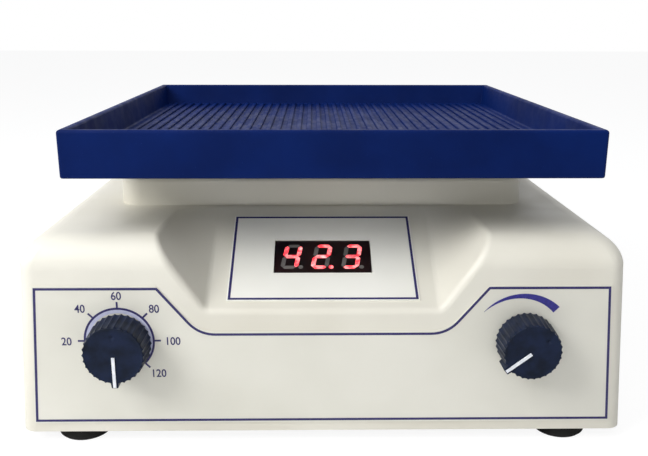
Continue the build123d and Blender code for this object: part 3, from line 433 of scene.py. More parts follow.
def winding_tape():
    """Yellow polyester tape in overlapping turns round the coil."""
    made, tree, shader = finish("Yellow coil tape", Roughness=0.32, IOR=1.6)
    turns = noise(tree, mm(5), 1, (0.05, 0.05, 1))
    paint(tree, shader, "Base Color", tones(tree, turns, "B8902A", "D9B645"))
    relief(tree, shader, turns, mm(0.1), 0.6)
    return made


def fine_moulding(name, dark, light, roughness):
    """Moulded engineering plastic with a fine erosion texture."""
    matt = (roughness - 0.06, roughness + 0.08, mm(2), 3)
    return patterned(name, (dark, light, mm(6), 3), matt, (mm(0.02), 0.5, mm(0.5)), IOR=1.58)


def enamel():
    """Baked enamel on drawn steel: glossy, with slight orange peel."""
    return patterned("Baked black enamel", ("141414", "212122", mm(12), 3), None,
                     (mm(0.03), 0.4, mm(1.4)), Roughness=0.28, IOR=1.5)


def display_epoxy():
    """The digit module's face: black ink over red-tinted epoxy, faintly warm where the light leaks."""
    return patterned("Black module face", ("0B0607", "1C0709", mm(9)), Roughness=0.3, IOR=1.5)


def segment_light(name, tint, strength):
    """A lit segment: diffused red epoxy that glows a little unevenly along its length."""
    made, tree, shader = finish(name, Roughness=0.4, Emission_Strength=strength)
    glow = tones(tree, noise(tree, mm(2.2)), tint, "FFB0AE", start=0.4, end=0.75)
    paint(tree, shader, "Base Color", glow)
    paint(tree, shader, "Emission Color", glow)
    return made


# The metals' last two values are the stretch of their streaks and the streaks' period.
FINISHES = {
    "case_plastic": moulded_abs(),
    "label_film": printed_polyester("Coated polyester film", "DAD8CC", "E2E0D5"),
    "tray_rubber": tray_rubber(),
    "knob_plastic": knob_plastic(),
    "pointer_plastic": pointer_paint(),
    "foot_rubber": black_rubber("Moulded foot rubber", "0C0C0B", "161614", mm(6)),
    "belt_rubber": black_rubber("Belt rubber", "0D0D0E", "1A1A1B", mm(3)),
    "zinc_steel": satin_metal("Zinc-plated sheet", "9DA1A4", "C3C6C7", 0.38, (0.1, 1, 1), mm(4)),
    "screw_steel": satin_metal("Plated screw steel", "A5A7A8", "D0D1D1", 0.3, (1, 1, 1), mm(2)),
    "spindle_steel": satin_metal("Ground shaft steel", "A8AAAC", "D2D3D4", 0.24, (0.2, 0.2, 1), mm(1)),
    "crank_steel": satin_metal("Turned crank steel", "7F8284", "AEB0B2", 0.33, (1, 1, 0.2), mm(1.5)),
    "spring_steel": satin_metal("Phosphated spring steel", "2E2F31", "4A4B4D", 0.45, (1, 1, 1), mm(1)),
    "magnet_plating": satin_metal("Nickel plating", "B9B7B0", "DAD8D2", 0.18, (1, 1, 1), mm(2)),
    "contact_metal": satin_metal("Nickel-plated brass", "B8AE92", "DCD4BC", 0.25, (1, 0.2, 1), mm(1)),
    "cast_alloy": satin_metal("Machined aluminium", "A9ABAD", "CFD1D2", 0.3, (1, 1, 0.15), mm(1.2)),
    "plated_alloy": satin_metal("Blasted aluminium casting", "8E9092", "B4B6B8", 0.5, (1, 1, 1), mm(1.2)),
    "bearing_steel": satin_metal("Ground bearing steel", "B4B6B8", "DADBDC", 0.16, (1, 1, 0.3), mm(1)),
    "bush_bronze": sintered_bronze(),
    "board_laminate": solder_mask(),
    "component_plastic": component_cases(),
    "core_lacquer": laminations(),
    "winding_tape": winding_tape(),
    "motor_paint": enamel(),
    "timer_plastic": fine_moulding("White nylon moulding", "C9C6BC", "D8D5CB", 0.45),
    "control_metal": satin_metal("Passivated control case", "8A7A58", "B3A176", 0.35, (1, 1, 1), mm(3)),
    "fitting_plastic": fine_moulding("Black polyester moulding", "0E0E10", "19191B", 0.42),
    "rocker_plastic": fine_moulding("Black rocker moulding", "0B0B0D", "151517", 0.25),
    "display_lens": display_epoxy(),
}
# The sloping panel's film is the label's film painted lighter: painted light that makes up for the lamp light the
# sloping panel catches less of.
PAINTED_LIGHT_FILM = printed_polyester("Backed polyester film", "EEEDE4", "F5F4EC")
BLUE_INK = screen_ink("Dark blue screen ink", "211C55", "2B2663")
WEDGE_INK = screen_ink("Mid blue screen ink", "231F78", "2C2888")
PALE_INK = screen_ink("Lavender screen ink", "C0C3DE", "CCCEE4")
WHITE_INK = screen_ink("White pad-printed ink", "DADADA", "ECECEC")
LIT = segment_light("Lit red segment", "FF3C48", 1.1)
UNLIT = fine_moulding("Unlit grey segment", "5C5A58", "706C69", 0.4)


def dress(piece, body, slot, *nodes, material=None):
    """Gives a finished piece its body, its slot, its material and the nodes that it stands for."""
    piece.data.materials.clear()
    piece.data.materials.append(material or FINISHES[slot])
    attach(piece, body)
    if nodes:
        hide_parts(*nodes)


def dress_cad_nodes():
    """Every CAD node takes the finish of its material slot, and the sloping panel's film takes a lighter copy of
    the film as painted light.
    """
    for entry in frame["record"]["subparts"]:
        node = frame["nodes"][entry["node"]]
        for place in node.material_slots:
            place.material = FINISHES[entry["material_slot"]]
    # Painted light: the sloping panel's film takes the lighter copy of the film.
    for place in frame["nodes"]["display_label"].material_slots:
        place.material = PAINTED_LIGHT_FILM


# Tray

TRAY_WALL = mm(3.5)
TRAY_FLOOR_DEPTH = mm(12)
TRAY_UNDERSIDE_DEPTH = mm(15.5)
TRAY_DRAFT_DEGREES = 6
TRAY_CORNER = mm(1.5)
TRAY_LEAST_CORNER = mm(0.3)
TRAY_CORNER_STEPS = 6
RIM_OUTER_ROUND = mm(1.3)
RIM_OUTER_STEPS = 5
RIM_INNER_ROUND = mm(1.0)
RIM_INNER_STEPS = 4
SKIRT_ROUND = mm(0.8)
SKIRT_STEPS = 3
RIB_PITCH = mm(5)
RIB_WIDTH = mm(2.4)
RIB_HEIGHT = mm(1.0)
RIB_CORNER_SHARE = 0.6
RIB_CORNER_STEPS = 3
RIB_COUNT = 39
RIB_END_GAP = mm(1)
TRAY_LEAN = TRAY_FLOOR_DEPTH * math.tan(math.radians(TRAY_DRAFT_DEGREES))


def ribs_tree():
    """Straight ribs with rounded backs, side by side along X, whose lower half is sunk."""
    tree, given = shape_tree("tray ribs", {
        "Count": "Int", "Pitch": "Float", "Length": "Float", "Width": "Float", "Height": "Float",
        "Start": "Vector",
    })
    far = result(tree, "ShaderNodeCombineXYZ", {"Y": given["Length"]})
    run = result(tree, "GeometryNodeCurvePrimitiveLine", {"End": far})
    tall = reckon(tree, "MULTIPLY", given["Height"], 2.0)
    section = result(tree, "GeometryNodeCurvePrimitiveQuadrilateral",
                     {"Width": given["Width"], "Height": tall})
    corner = reckon(tree, "MULTIPLY", given["Height"], RIB_CORNER_SHARE)
    rounded = result(tree, "GeometryNodeFilletCurve",
                     {"Count": RIB_CORNER_STEPS, "Curve": section, "Radius": corner}, mode="POLY")
    rib = result(tree, "GeometryNodeCurveToMesh",
                 {"Fill Caps": True, "Curve": run, "Profile Curve": rounded})
    step = result(tree, "ShaderNodeCombineXYZ", {"X": given["Pitch"]})
    row = result(tree, "GeometryNodeMeshLine",
                 {"Count": given["Count"], "Start Location": given["Start"], "Offset": step})
    ribs = result(tree, "GeometryNodeInstanceOnPoints", {"Points": row, "Instance": rib})
    return close_tree(tree, ribs, given)


def rounded_loop(half, inset, level, centre):
    """The tray's rounded square at one level, drawn in from its outer half width by an inset."""
    radius = max(TRAY_CORNER - inset, TRAY_LEAST_CORNER)
    reach = half - inset - radius
    points = []
    for quarter, (side, end) in enumerate(((1, 1), (-1, 1), (-1, -1), (1, -1))):
        hub = (centre.x + side * reach, centre.y + end * reach)
        start = 90 * quarter
        turn = arc(hub, radius, start, start + 90, TRAY_CORNER_STEPS)
        points += [Vector((x, y, level)) for x, y in turn]
    return points


def tray_profile(bottom, top):
    """The wall's section from the underside, round the skirt and the rim, down to the floor."""
    floor = top - TRAY_FLOOR_DEPTH
    foot = TRAY_WALL + TRAY_LEAN + RIM_INNER_ROUND
    skirt = bottom + SKIRT_ROUND
    inner = (TRAY_WALL - RIM_INNER_ROUND, top - RIM_INNER_ROUND)
    fillet = (foot, floor + RIM_INNER_ROUND)
    return (
        [(TRAY_WALL, top - TRAY_UNDERSIDE_DEPTH)]
        + arc((TRAY_WALL - SKIRT_ROUND, skirt), SKIRT_ROUND, 0, -90, SKIRT_STEPS)
        + arc((SKIRT_ROUND, skirt), SKIRT_ROUND, -90, -180, SKIRT_STEPS)
        + arc((RIM_OUTER_ROUND, top - RIM_OUTER_ROUND), RIM_OUTER_ROUND, 180, 90, RIM_OUTER_STEPS)
        + arc(inner, RIM_INNER_ROUND, 90, 0, RIM_INNER_STEPS)
        + arc(fillet, RIM_INNER_ROUND, 180 + TRAY_DRAFT_DEGREES, 270, RIM_INNER_STEPS)
    )


def make_tray():
    bottom, top = low("tray").z, high("tray").z
    half = (high("tray").x - low("tray").x) / 2
    centre = middle("tray")
    loops = [rounded_loop(half, inset, level, centre) for inset, level in tray_profile(bottom, top)]
    shell = mesh_from("tray_shell", lambda body: skin(body, loops))
    dress(smooth(shell), "platform", "tray_rubber", "tray")
    reach = half - TRAY_WALL - TRAY_LEAN - RIB_END_GAP
    start = Vector((centre.x - (RIB_COUNT - 1) / 2 * RIB_PITCH, centre.y - reach, top - TRAY_FLOOR_DEPTH))
    ribs = grown(points_piece("tray_ribs", []), ribs_tree(), {
        "Count": RIB_COUNT, "Pitch": RIB_PITCH, "Length": 2 * reach, "Width": RIB_WIDTH,
        "Height": RIB_HEIGHT, "Start": start, "Material": FINISHES["tray_rubber"],
    })
    dress(smooth(ribs, degrees=60), "platform", "tray_rubber")


# Dials

KNOB_FLUTES = 30.0
KNOB_FLUTE_DEPTH = mm(0.55)
# Flutes are cut only in what is this close to the knob's full radius.
KNOB_FLUTE_BAND = mm(1.1)
KNOB_FACE_ROUND = mm(0.7)
KNOB_DISH = mm(0.25)
KNOB_HOLLOW = mm(9.4)
KNOB_HOLLOW_DEPTH = mm(4.5)
KNOB_TAPER = mm(0.5)
KNOB_SEGMENTS = 240
GRIP_STEPS = 8
ROUND_STEPS = 4
# Rings across the face stop short of its middle, and the dish is at full depth by the second one.
FACE_STEPS = 24
FACE_SPARE = mm(2)
DISH_STEPS = 2
DIMPLE_REACH = mm(7.4)
DIMPLE_RADIUS = mm(1.3)
DIMPLE_DEPTH = mm(0.7)
NUB_ROOT = mm(2)
NUB_LENGTH = mm(1.0)
NUB_WIDTH = mm(3.2)
NUB_TIP_WIDTH = mm(2.4)
NUB_FOOT_SHARE = 1 / 3
NUB_TOP_GAP = mm(0.1)
POINTER_START = mm(0.8)
POINTER_END_GAP = mm(0.3)
POINTER_WIDTH = mm(1.2)
POINTER_PROUD = mm(0.2)
POINTER_SUNK = mm(1)
# Where each dial's pointer points, in degrees anticlockwise from the right.
DIALS = {"timer": -90.0, "speed": -142.0}


def flutes_tree():
    """Scallops round a piece turned about Y, cut in where it is wider than a limit."""
    tree, given = shape_tree("knob flutes", {
        "Flutes": "Float", "Depth": "Float", "Limit": "Float", "Axis": "Vector",
    })
    arm = reckon_vector(tree, "SUBTRACT", result(tree, "GeometryNodeInputPosition"), given["Axis"])
    flat = reckon_vector(tree, "MULTIPLY", arm, (1, 0, 1))
    reach = add(tree, "ShaderNodeVectorMath", {0: flat}, operation="LENGTH").outputs["Value"]
    parts = add(tree, "ShaderNodeSeparateXYZ", {0: flat}).outputs
    turn = reckon(tree, "ARCTAN2", parts["Z"], parts["X"])
    phase = reckon(tree, "MULTIPLY", turn, reckon(tree, "MULTIPLY", given["Flutes"], 0.5))
    scallop = reckon(tree, "ABSOLUTE", reckon(tree, "SINE", phase))
    cut = reckon(tree, "MULTIPLY", scallop, given["Depth"])
    masked = reckon(tree, "MULTIPLY", cut, reckon(tree, "GREATER_THAN", reach, given["Limit"]))
    inward = reckon(tree, "MULTIPLY", masked, -1.0)
    outward = reckon_vector(tree, "NORMALIZE", flat)
    push = result(tree, "ShaderNodeVectorMath", {0: outward, "Scale": inward}, operation="SCALE")
    moved = result(tree, "GeometryNodeSetPosition", {"Geometry": given["Mesh"], "Offset": push})
    return close_tree(tree, moved, given)


def dial_frame(dial, pointer_angle):
    """A dial's own frame: +Z out of its face, and +X along its pointer."""
    knob = dial + "_knob"
    angle = math.radians(pointer_angle)
    along = Vector((math.cos(angle), 0, math.sin(angle)))
    out = Vector((0, -1, 0))
    frame_of_dial = Matrix((along, out.cross(along), out)).transposed().to_4x4()
    frame_of_dial.translation = Vector((middle(knob).x, high(knob).y, middle(knob).z))
    return frame_of_dial


def knob_profile(radius, height):
    """From the hollow's middle, round the skirt, up the grip and in across the dished face."""
    side, top = radius - KNOB_TAPER - KNOB_FACE_ROUND, height - KNOB_FACE_ROUND
    hollow = [(0, KNOB_HOLLOW_DEPTH), (KNOB_HOLLOW, KNOB_HOLLOW_DEPTH), (KNOB_HOLLOW, 0), (radius, 0)]
    shares = [i / GRIP_STEPS for i in range(1, GRIP_STEPS)]
    grip = [(radius - KNOB_TAPER * share, top * share) for share in shares]
    edge = arc((side, top), KNOB_FACE_ROUND, 0, 90, ROUND_STEPS)
    pitch = (radius - FACE_SPARE) / FACE_STEPS
    face = [(side - i * pitch, height - KNOB_DISH * min(1, i / DISH_STEPS)) for i in range(1, FACE_STEPS)]
    return hollow + grip + edge + face + [(0, height - KNOB_DISH)]


def make_dial(dial, pointer_angle):
    """A fluted knob with a gate dimple, a nub on its rim, and a white pointer let into its face."""
    to_world = dial_frame(dial, pointer_angle)
    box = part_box(dial + "_knob")
    radius = (box[1].z - box[0].z) / 2
    height = box[1].y - box[0].y

    def turned(body):
        lathe(body, knob_profile(radius, height), to_world, KNOB_SEGMENTS)
        centre = to_world @ Vector((-DIMPLE_REACH, 0, height - KNOB_DISH))
        for vert in body.verts:
            away = (vert.co - centre).length
            if away < DIMPLE_RADIUS:
                share = (1 + math.cos(math.pi * away / DIMPLE_RADIUS)) / 2
                vert.co += Vector((0, DIMPLE_DEPTH * share, 0))

    def on_dial(x, y, level):
        return to_world @ Vector((x, y, level))

    def bar(name, ends, widths, lower, upper):
        """A flat bar along the pointer, with its own width at each end."""
        (start, end), (near, far) = ends, widths
        outline = [(start, near / 2), (start, -near / 2), (end, -far / 2), (end, far / 2)]
        return mesh_from(dial + name, lambda body: prism(body, outline, on_dial, lower, upper))

    knob = grown(mesh_from(dial + "_knob_body", turned), flutes_tree(), {
        "Flutes": KNOB_FLUTES, "Depth": KNOB_FLUTE_DEPTH, "Limit": radius - KNOB_FLUTE_BAND,
        "Axis": to_world.translation, "Material": FINISHES["knob_plastic"],
    })
    dress(smooth(knob, degrees=50), dial + "_dial", "knob_plastic", dial + "_knob")
    tip = radius + NUB_LENGTH
    nub = bar("_nub", (radius - NUB_ROOT, tip), (NUB_WIDTH, NUB_TIP_WIDTH),
              height * NUB_FOOT_SHARE, height - NUB_TOP_GAP)
    dress(nub, dial + "_dial", "knob_plastic")
    pointer = bar("_pointer_bar", (POINTER_START, tip - POINTER_END_GAP), (POINTER_WIDTH, POINTER_WIDTH),
                  height - POINTER_SUNK, height + POINTER_PROUD)
    dress(pointer, dial + "_dial", "pointer_plastic", dial + "_pointer")


# Printing on the front label

INK = mm(0.06)
LINE_WIDTH = mm(1.0)
CASE_BOTTOM = low("housing").z
LABEL_FACE = low("control_label").y
# The line's corners, the numbers' places and the crescent's sizes are in millimetres, and the
# angles are in degrees anticlockwise from the right.
PRINT_BOTTOM = (116.7, 5.2)
PRINT_TOP = (112.5, 62.0)
PRINT_NOTCH = (65.2, 62.0)
PRINT_BEND = (53.6, 48.0)
PRINT_NOTCH_FLOOR = (42.7, 42.8)
BEND_STEPS = 10
RING_RADIUS = mm(13.6)
RING_HEIGHT = mm(40.3)
RING_SHIFT = mm(-0.4)
RING_LINE = mm(0.85)
RING_BAND = mm(1.9)
RING_START = -45
RING_END = 225
RING_STEPS = 90
TICKS = 6
TICK_STEP = 45
TICK_LENGTH = mm(2.8)
TICK_WIDTH = mm(0.75)
NUMBER_SIZE = mm(4.7)
NUMBER_WIDTH = 0.88
NUMBER_WEIGHT = mm(0.06)
NUMBERS = {
    "20": (-101.8, 39.9), "40": (-95.5, 53.7), "60": (-81.0, 59.0),
    "80": (-66.5, 53.6), "100": (-59.8, 39.9), "120": (-66.1, 26.0),
}
WEDGE_CENTRE = (79.3, 39.3)
WEDGE_OUTER = 20.3
WEDGE_START = 141.5
WEDGE_END = 46.5
WEDGE_WIDTH = 3.3
WEDGE_TIP = 0.12
WEDGE_GROWTH = 0.8
WEDGE_STEPS = 40


def on_front(x, height, lift):
    """A point of the front label, by its place across and above the case's bottom."""
    return Vector((x, LABEL_FACE - lift, CASE_BOTTOM + height))


def line_of_ink(name, points, widths, place, thickness=INK, closed=False):
    """A printed line of one width, or of a width for each point."""
    each = widths if isinstance(widths, list) else [widths] * len(points)
    return mesh_from(name, lambda body: ribbon(body, points, each, place, thickness, closed))


def print_on_film(piece, ink):
    dress(piece, "base", "label_film", material=ink)


def ticks_tree():
    """Bars of ink that point away from a dial's axis, one step apart."""
    tree, given = shape_tree("dial ticks", {
        "Count": "Int", "First": "Float", "Step": "Float", "Radius": "Float",
        "Bar": "Vector", "Axis": "Vector",
    })
    bar = result(tree, "GeometryNodeMeshCube", {"Size": given["Bar"]})
    out = result(tree, "ShaderNodeCombineXYZ", {"X": given["Radius"]})
    placed = result(tree, "GeometryNodeTransform", {"Geometry": bar, "Translation": out})
    row = result(tree, "GeometryNodeMeshLine",
                 {"Offset": (0, 0, 0), "Count": given["Count"], "Start Location": given["Axis"]})
    along = reckon(tree, "MULTIPLY", result(tree, "GeometryNodeInputIndex"), given["Step"])
    spin = result(tree, "ShaderNodeCombineXYZ", {"Y": reckon(tree, "ADD", along, given["First"])})
    ticks = result(tree, "GeometryNodeInstanceOnPoints",
                   {"Points": row, "Instance": placed, "Rotation": spin})
    return close_tree(tree, ticks, given)


def notch_bend():
    """The curved end of the print's notch: leaves the slant straight on and meets the floor level."""
    (x0, z0), (x2, z2) = PRINT_BEND, PRINT_NOTCH_FLOOR
    slope = (PRINT_NOTCH[1] - z0) / (PRINT_NOTCH[0] - x0)
    x1 = x0 - (z0 - z2) / slope
    points = []
    for i in range(BEND_STEPS + 1):
        t = i / BEND_STEPS
        points.append(((1 - t) ** 2 * x0 + 2 * t * (1 - t) * x1 + t * t * x2,
                       (1 - t) ** 2 * z0 + 2 * t * (1 - t) * z2 + t * t * z2))
    return points


def print_outline():
    """The line round the front label, anticlockwise from its lower right corner."""
    right = [PRINT_BOTTOM, PRINT_TOP, PRINT_NOTCH] + notch_bend()
    left = [(-x, z) for x, z in reversed(right)]
    return [(mm(x), mm(z)) for x, z in right + left]


def make_number(word, x, z):
    """A dial number as thin raised ink, centred on its place."""
    name = "number_" + word
    text = bpy.data.curves.new(name, "FONT")
    text.body = word
    text.size = NUMBER_SIZE
    text.align_x = "CENTER"
    text.align_y = "CENTER"
    text.extrude = INK / 2
    text.offset = NUMBER_WEIGHT
    mesh = plain_mesh(link(name, text))
    upright = Matrix.Rotation(math.radians(90), 4, "X") @ Matrix.Diagonal((NUMBER_WIDTH, 1, 1, 1))
    mesh.transform(Matrix.Translation(on_front(x, z, INK / 2)) @ upright)
    print_on_film(link(name, mesh), BLUE_INK)


def make_timer_scale():
    """The timer's ring with its pale band, ticks and numbers."""
    centre = (middle("timer_spindle").x + RING_SHIFT, RING_HEIGHT)
    ring = arc(centre, RING_RADIUS, RING_START, RING_END, RING_STEPS)
    print_on_film(line_of_ink("timer_ring", ring, RING_LINE, on_front, 2 * INK), BLUE_INK)
    band = arc(centre, RING_RADIUS - RING_BAND / 2, RING_START, RING_END, RING_STEPS)
    print_on_film(line_of_ink("timer_band", band, RING_BAND, on_front), PALE_INK)
    ticks = grown(points_piece("timer_ticks", []), ticks_tree(), {
        "Count": TICKS, "First": math.radians(-RING_START), "Step": math.radians(-TICK_STEP),
        "Radius": RING_RADIUS + TICK_LENGTH / 2, "Bar": Vector((TICK_LENGTH, INK, TICK_WIDTH)),
        "Axis": on_front(*centre, INK / 2), "Material": BLUE_INK,
    })
    print_on_film(ticks, BLUE_INK)
    for word, (x, z) in NUMBERS.items():
        make_number(word, mm(x), mm(z))


def make_wedge():
    """The speed dial's crescent, which grows from a point to its full width clockwise."""
    points = []
    widths = []
    for i in range(WEDGE_STEPS + 1):
        share = i / WEDGE_STEPS
        width = max(WEDGE_TIP, WEDGE_WIDTH * share ** WEDGE_GROWTH)
        turn = math.radians(WEDGE_START + (WEDGE_END - WEDGE_START) * share)
        reach = WEDGE_OUTER - width / 2
        x = WEDGE_CENTRE[0] + reach * math.cos(turn)
        z = WEDGE_CENTRE[1] + reach * math.sin(turn)
        points.append((mm(x), mm(z)))
        widths.append(mm(width))
    print_on_film(line_of_ink("speed_wedge", points, widths, on_front), WEDGE_INK)


def make_front_print():
    border = line_of_ink("label_border", print_outline(), LINE_WIDTH, on_front, closed=True)
    print_on_film(border, BLUE_INK)
    make_timer_scale()
    make_wedge()


# Sloping display panel

PANEL_SLOPE = math.radians(28)
PANEL_FILM = mm(0.4)
PANEL_MARGIN = mm(1.0)
PANEL_FILM_LENGTH = mm(50)
DISPLAY_ALONG = mm(24.9)
DISPLAY_SHIFT = mm(-0.4)
DIGIT_TALL = mm(14.2)
DIGIT_WIDE = mm(7.4)
DIGIT_PITCH = mm(12.7)
DIGIT_SLANT = math.tan(math.radians(9))
SEGMENT = mm(1.75)
SEGMENT_GAP = mm(0.12)
SEGMENT_HEIGHT = mm(0.1)
POINT_RADIUS = mm(1.0)
POINT_GAP = mm(1.3)
POINT_STEPS = 16
# The lit bars of each digit, 4, 2 and 3, and the digit whose point is lit, counted from 0.
SHOWN = ["bcfg", "abdeg", "abcdg"]
LIT_POINT = 1


def on_panel(x, along, lift):
    """A point over the panel's film, by its place across and up the slope from the film's lower edge."""
    edge = low("display_label")
    start = Vector((0, edge.y, edge.z + PANEL_FILM * math.cos(PANEL_SLOPE)))
    up_slope = Vector((0, math.cos(PANEL_SLOPE), math.sin(PANEL_SLOPE)))
    outward = Vector((0, -math.sin(PANEL_SLOPE), math.cos(PANEL_SLOPE)))
    return start + Vector((x, 0, 0)) + up_slope * along + outward * lift


def on_digits(x, y, lift):
    """A point over the digit module's face, from the module's middle."""
    return on_panel(x, DISPLAY_ALONG + y, lift - PANEL_FILM)


def make_panel_print():
    half = (high("display_label").x - low("display_label").x) / 2 - PANEL_MARGIN
    near, far = PANEL_MARGIN, PANEL_FILM_LENGTH - PANEL_MARGIN
    corners = [(-half, near), (half, near), (half, far), (-half, far)]
    print_on_film(line_of_ink("display_border", corners, LINE_WIDTH, on_panel, closed=True), BLUE_INK)


def bar_outline(x, y, reach, upright):
    """A digit's bar about its middle, pointed at both ends, lying level or standing upright."""
    half = SEGMENT / 2
    level = [(-reach, 0), (half - reach, half), (reach - half, half),
             (reach, 0), (reach - half, -half), (half - reach, -half)]
    return [(x + across, y + along) if upright else (x + along, y + across) for along, across in level]


def segment_shapes():
    """The seven bars of one digit, upright, as outlines about the digit's middle."""
    right = DIGIT_WIDE / 2 - SEGMENT / 2
    top = DIGIT_TALL / 2 - SEGMENT / 2
    bars = {name: bar_outline(0, y, right - SEGMENT_GAP, upright=False)
            for name, y in (("a", top), ("g", 0), ("d", -top))}
    for name, side, end in (("b", 1, 1), ("c", 1, -1), ("e", -1, -1), ("f", -1, 1)):
        bars[name] = bar_outline(side * right, end * top / 2, top / 2 - SEGMENT_GAP, upright=True)
    return bars


def make_digits():
    """Three slanted seven-bar digits with their points, lit and unlit bars as two pieces."""
    lit = []
    unlit = []
    for place, shown in enumerate(SHOWN):
        shift = (place - 1) * DIGIT_PITCH + DISPLAY_SHIFT
        for name, outline in segment_shapes().items():
            slanted = [(shift + x + y * DIGIT_SLANT, y) for x, y in outline]
            (lit if name in shown else unlit).append(slanted)
        foot = shift + DIGIT_WIDE / 2 - DIGIT_TALL / 2 * DIGIT_SLANT
        point = circle((foot + POINT_GAP, POINT_RADIUS - DIGIT_TALL / 2), POINT_RADIUS, POINT_STEPS)
        (lit if place == LIT_POINT else unlit).append(point)
    for name, shapes, light in (("lit_segments", lit, LIT), ("unlit_segments", unlit, UNLIT)):
        bars = mesh_from(name, lambda body: [
            prism(body, shape, on_digits, 0, SEGMENT_HEIGHT) for shape in shapes])
        dress(bars, "base", "display_lens", material=light)


# Screws, whose templates stand upright with the head's seat on z = 0

SCREW_SEGMENTS = 32
SHANK_RADIUS = mm(1.48)
# The head's straight edge, and the cross recess, as shares of the head's height and radius.
HEAD_EDGE = 0.35
HEAD_STEPS = 7
RECESS_REACH = 0.55
RECESS_WIDTH = 0.2
RECESS_DEPTH = 0.6
# A chassis screw's head radius over its head's height.
CHASSIS_HEAD_RATIO = 2
FLANGE_SCREW_CIRCLE = mm(23.5)
FOOT_SCREW_HEAD = mm(3.5)
FOOT_SCREW_HEAD_HEIGHT = mm(1.7)
HEAD_UP = (0, 0, 0)
HEAD_DOWN = (math.pi, 0, 0)
HEAD_BACK = (-math.pi / 2, 0, 0)


def screws_tree():
    """The same screw on every point, turned by one rotation."""
    tree, given = shape_tree("screw heads", {"Screw": "Object", "Turn": "Vector"})
    screw = add(tree, "GeometryNodeObjectInfo", {"Object": given["Screw"]}).outputs["Geometry"]
    screws = result(tree, "GeometryNodeInstanceOnPoints",
                    {"Points": given["Mesh"], "Instance": screw, "Rotation": given["Turn"]})
    return close_tree(tree, screws, given)


def make_screw(name, head_radius, head_height, length):
    """A domed pan head with a cross recess over its shank, as a template for the screws tree."""
    def turned(body):
        turns = [math.radians(90 * i / HEAD_STEPS) for i in range(HEAD_STEPS)]
        dome = [(head_radius * math.cos(turn), head_height * (HEAD_EDGE + (1 - HEAD_EDGE) * math.sin(turn)))
                for turn in turns]
        shank = [(0, -length), (SHANK_RADIUS, -length), (SHANK_RADIUS, 0), (head_radius, 0)]
        lathe(body, shank + dome + [(0, head_height)], Matrix.Identity(4), SCREW_SEGMENTS)

    def cross(body):
        a, b = RECESS_REACH * head_radius, RECESS_WIDTH * head_radius / 2
        arms = [(a, -b), (a, b), (b, b), (b, a), (-b, a), (-b, b),
                (-a, b), (-a, -b), (-b, -b), (-b, -a), (b, -a), (b, -b)]
        floor = head_height * (1 - RECESS_DEPTH)
        skin(body, [[Vector((x, y, level)) for x, y in arms] for level in (floor, 2 * head_height)])

    screw = mesh_from(name, turned)
    cutter = mesh_from(name + "_recess", cross)
    cut = screw.modifiers.new("recess", "BOOLEAN")
    cut.object = cutter
    cut.operation = "DIFFERENCE"
    cut.solver = "EXACT"
    mesh = plain_mesh(screw)
    bpy.data.objects.remove(cutter)
    return smooth(link(name, mesh), degrees=30)


def make_screws(name, sizes, places, turn, tree, *nodes):
    """Screws of one size on a list of places, riding on the base."""
    screw = make_screw(name + "_template", *sizes)
    screws = grown(points_piece(name, places), tree, {
        "Screw": screw, "Turn": Vector(turn), "Material": FINISHES["screw_steel"],
    })
    bpy.data.objects.remove(screw)
    dress(screws, "base", "screw_steel", *nodes)


def corners_of(near, far, inset, level):
    """The four corners of a box at one level, drawn in by an inset."""
    return [(x, y, level) for x in (near.x + inset, far.x - inset) for y in (near.y + inset, far.y - inset)]


def make_inlet_screws(tree):
    near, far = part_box("inlet_screws")
    seat = high("power_inlet").y
    radius = (far.z - near.z) / 2
    places = [(x, seat, (near.z + far.z) / 2) for x in (near.x + radius, far.x - radius)]
    sizes = (radius, far.y - seat, seat - near.y)
    make_screws("inlet_cross_screws", sizes, places, HEAD_BACK, tree, "inlet_screws")


def make_plinth_screws(tree):
    """Four screws down through the plinth, and four more up through the bearing's flange."""
    near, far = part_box("chassis_screws")
    seat = high("housing").z
    head = far.z - seat
    radius = CHASSIS_HEAD_RATIO * head
    sizes = (radius, head, seat - low("chassis_plate").z)
    places = corners_of(near, far, radius, seat)
    make_screws("plinth_cross_screws", sizes, places, HEAD_UP, tree, "chassis_screws")
    axis = middle("bearing_housing")
    reach = FLANGE_SCREW_CIRCLE / math.sqrt(2)
    flange = near.z + head
    sizes = (radius, head, high("chassis_plate").z - flange)
    places = [(axis.x + i * reach, axis.y + j * reach, flange) for i in (-1, 1) for j in (-1, 1)]
    make_screws("flange_cross_screws", sizes, places, HEAD_DOWN, tree)


def make_foot_screws(tree):
    near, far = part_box("foot_screws")
    seat = near.z + FOOT_SCREW_HEAD_HEIGHT
    sizes = (FOOT_SCREW_HEAD, seat - near.z, far.z - seat)
    places = corners_of(near, far, FOOT_SCREW_HEAD, seat)
    make_screws("foot_cross_screws", sizes, places, HEAD_DOWN, tree, "foot_screws")


def make_all_screws():
    tree = screws_tree()
    make_inlet_screws(tree)
    make_plinth_screws(tree)
    make_foot_screws(tree)


# Marks on the power rocker

# The rocker's own form in the CAD: how far its flats stand out from the pivot, and its tilt at rest.
ROCKER_PIVOT_DEPTH = mm(3.0)
ROCKER_TILT = math.radians(12)
ROCKER_VALLEY = mm(0.6)
ROCKER_PROUD = mm(2.4)
ROCKER_REACH = mm(9.0)
MARK_REACH = mm(4.6)
MARK_SIZE = mm(1.3)
ON_MARK_LINE = mm(0.5)
OFF_MARK_LINE = mm(0.45)
OFF_MARK_STEPS = 24


def on_rocker(side):
    """The surface of the rocker's flat on one side of its pivot, as a function of a mark's points."""
    pivot = next(joint for joint in frame["joints"] if joint["name"] == "power_rock")["pos_m"]
    centre = middle("power_rocker").x
    slope = (ROCKER_PROUD - ROCKER_VALLEY) / ROCKER_REACH

    def place(across, along, lift):
        reach = side * MARK_REACH + along
        out = ROCKER_PIVOT_DEPTH + ROCKER_VALLEY + slope * abs(reach) + lift
        turned = Matrix.Rotation(ROCKER_TILT, 3, "X") @ Vector((0, out, reach))
        return Vector((centre + across, pivot[1], pivot[2])) + turned

    return place


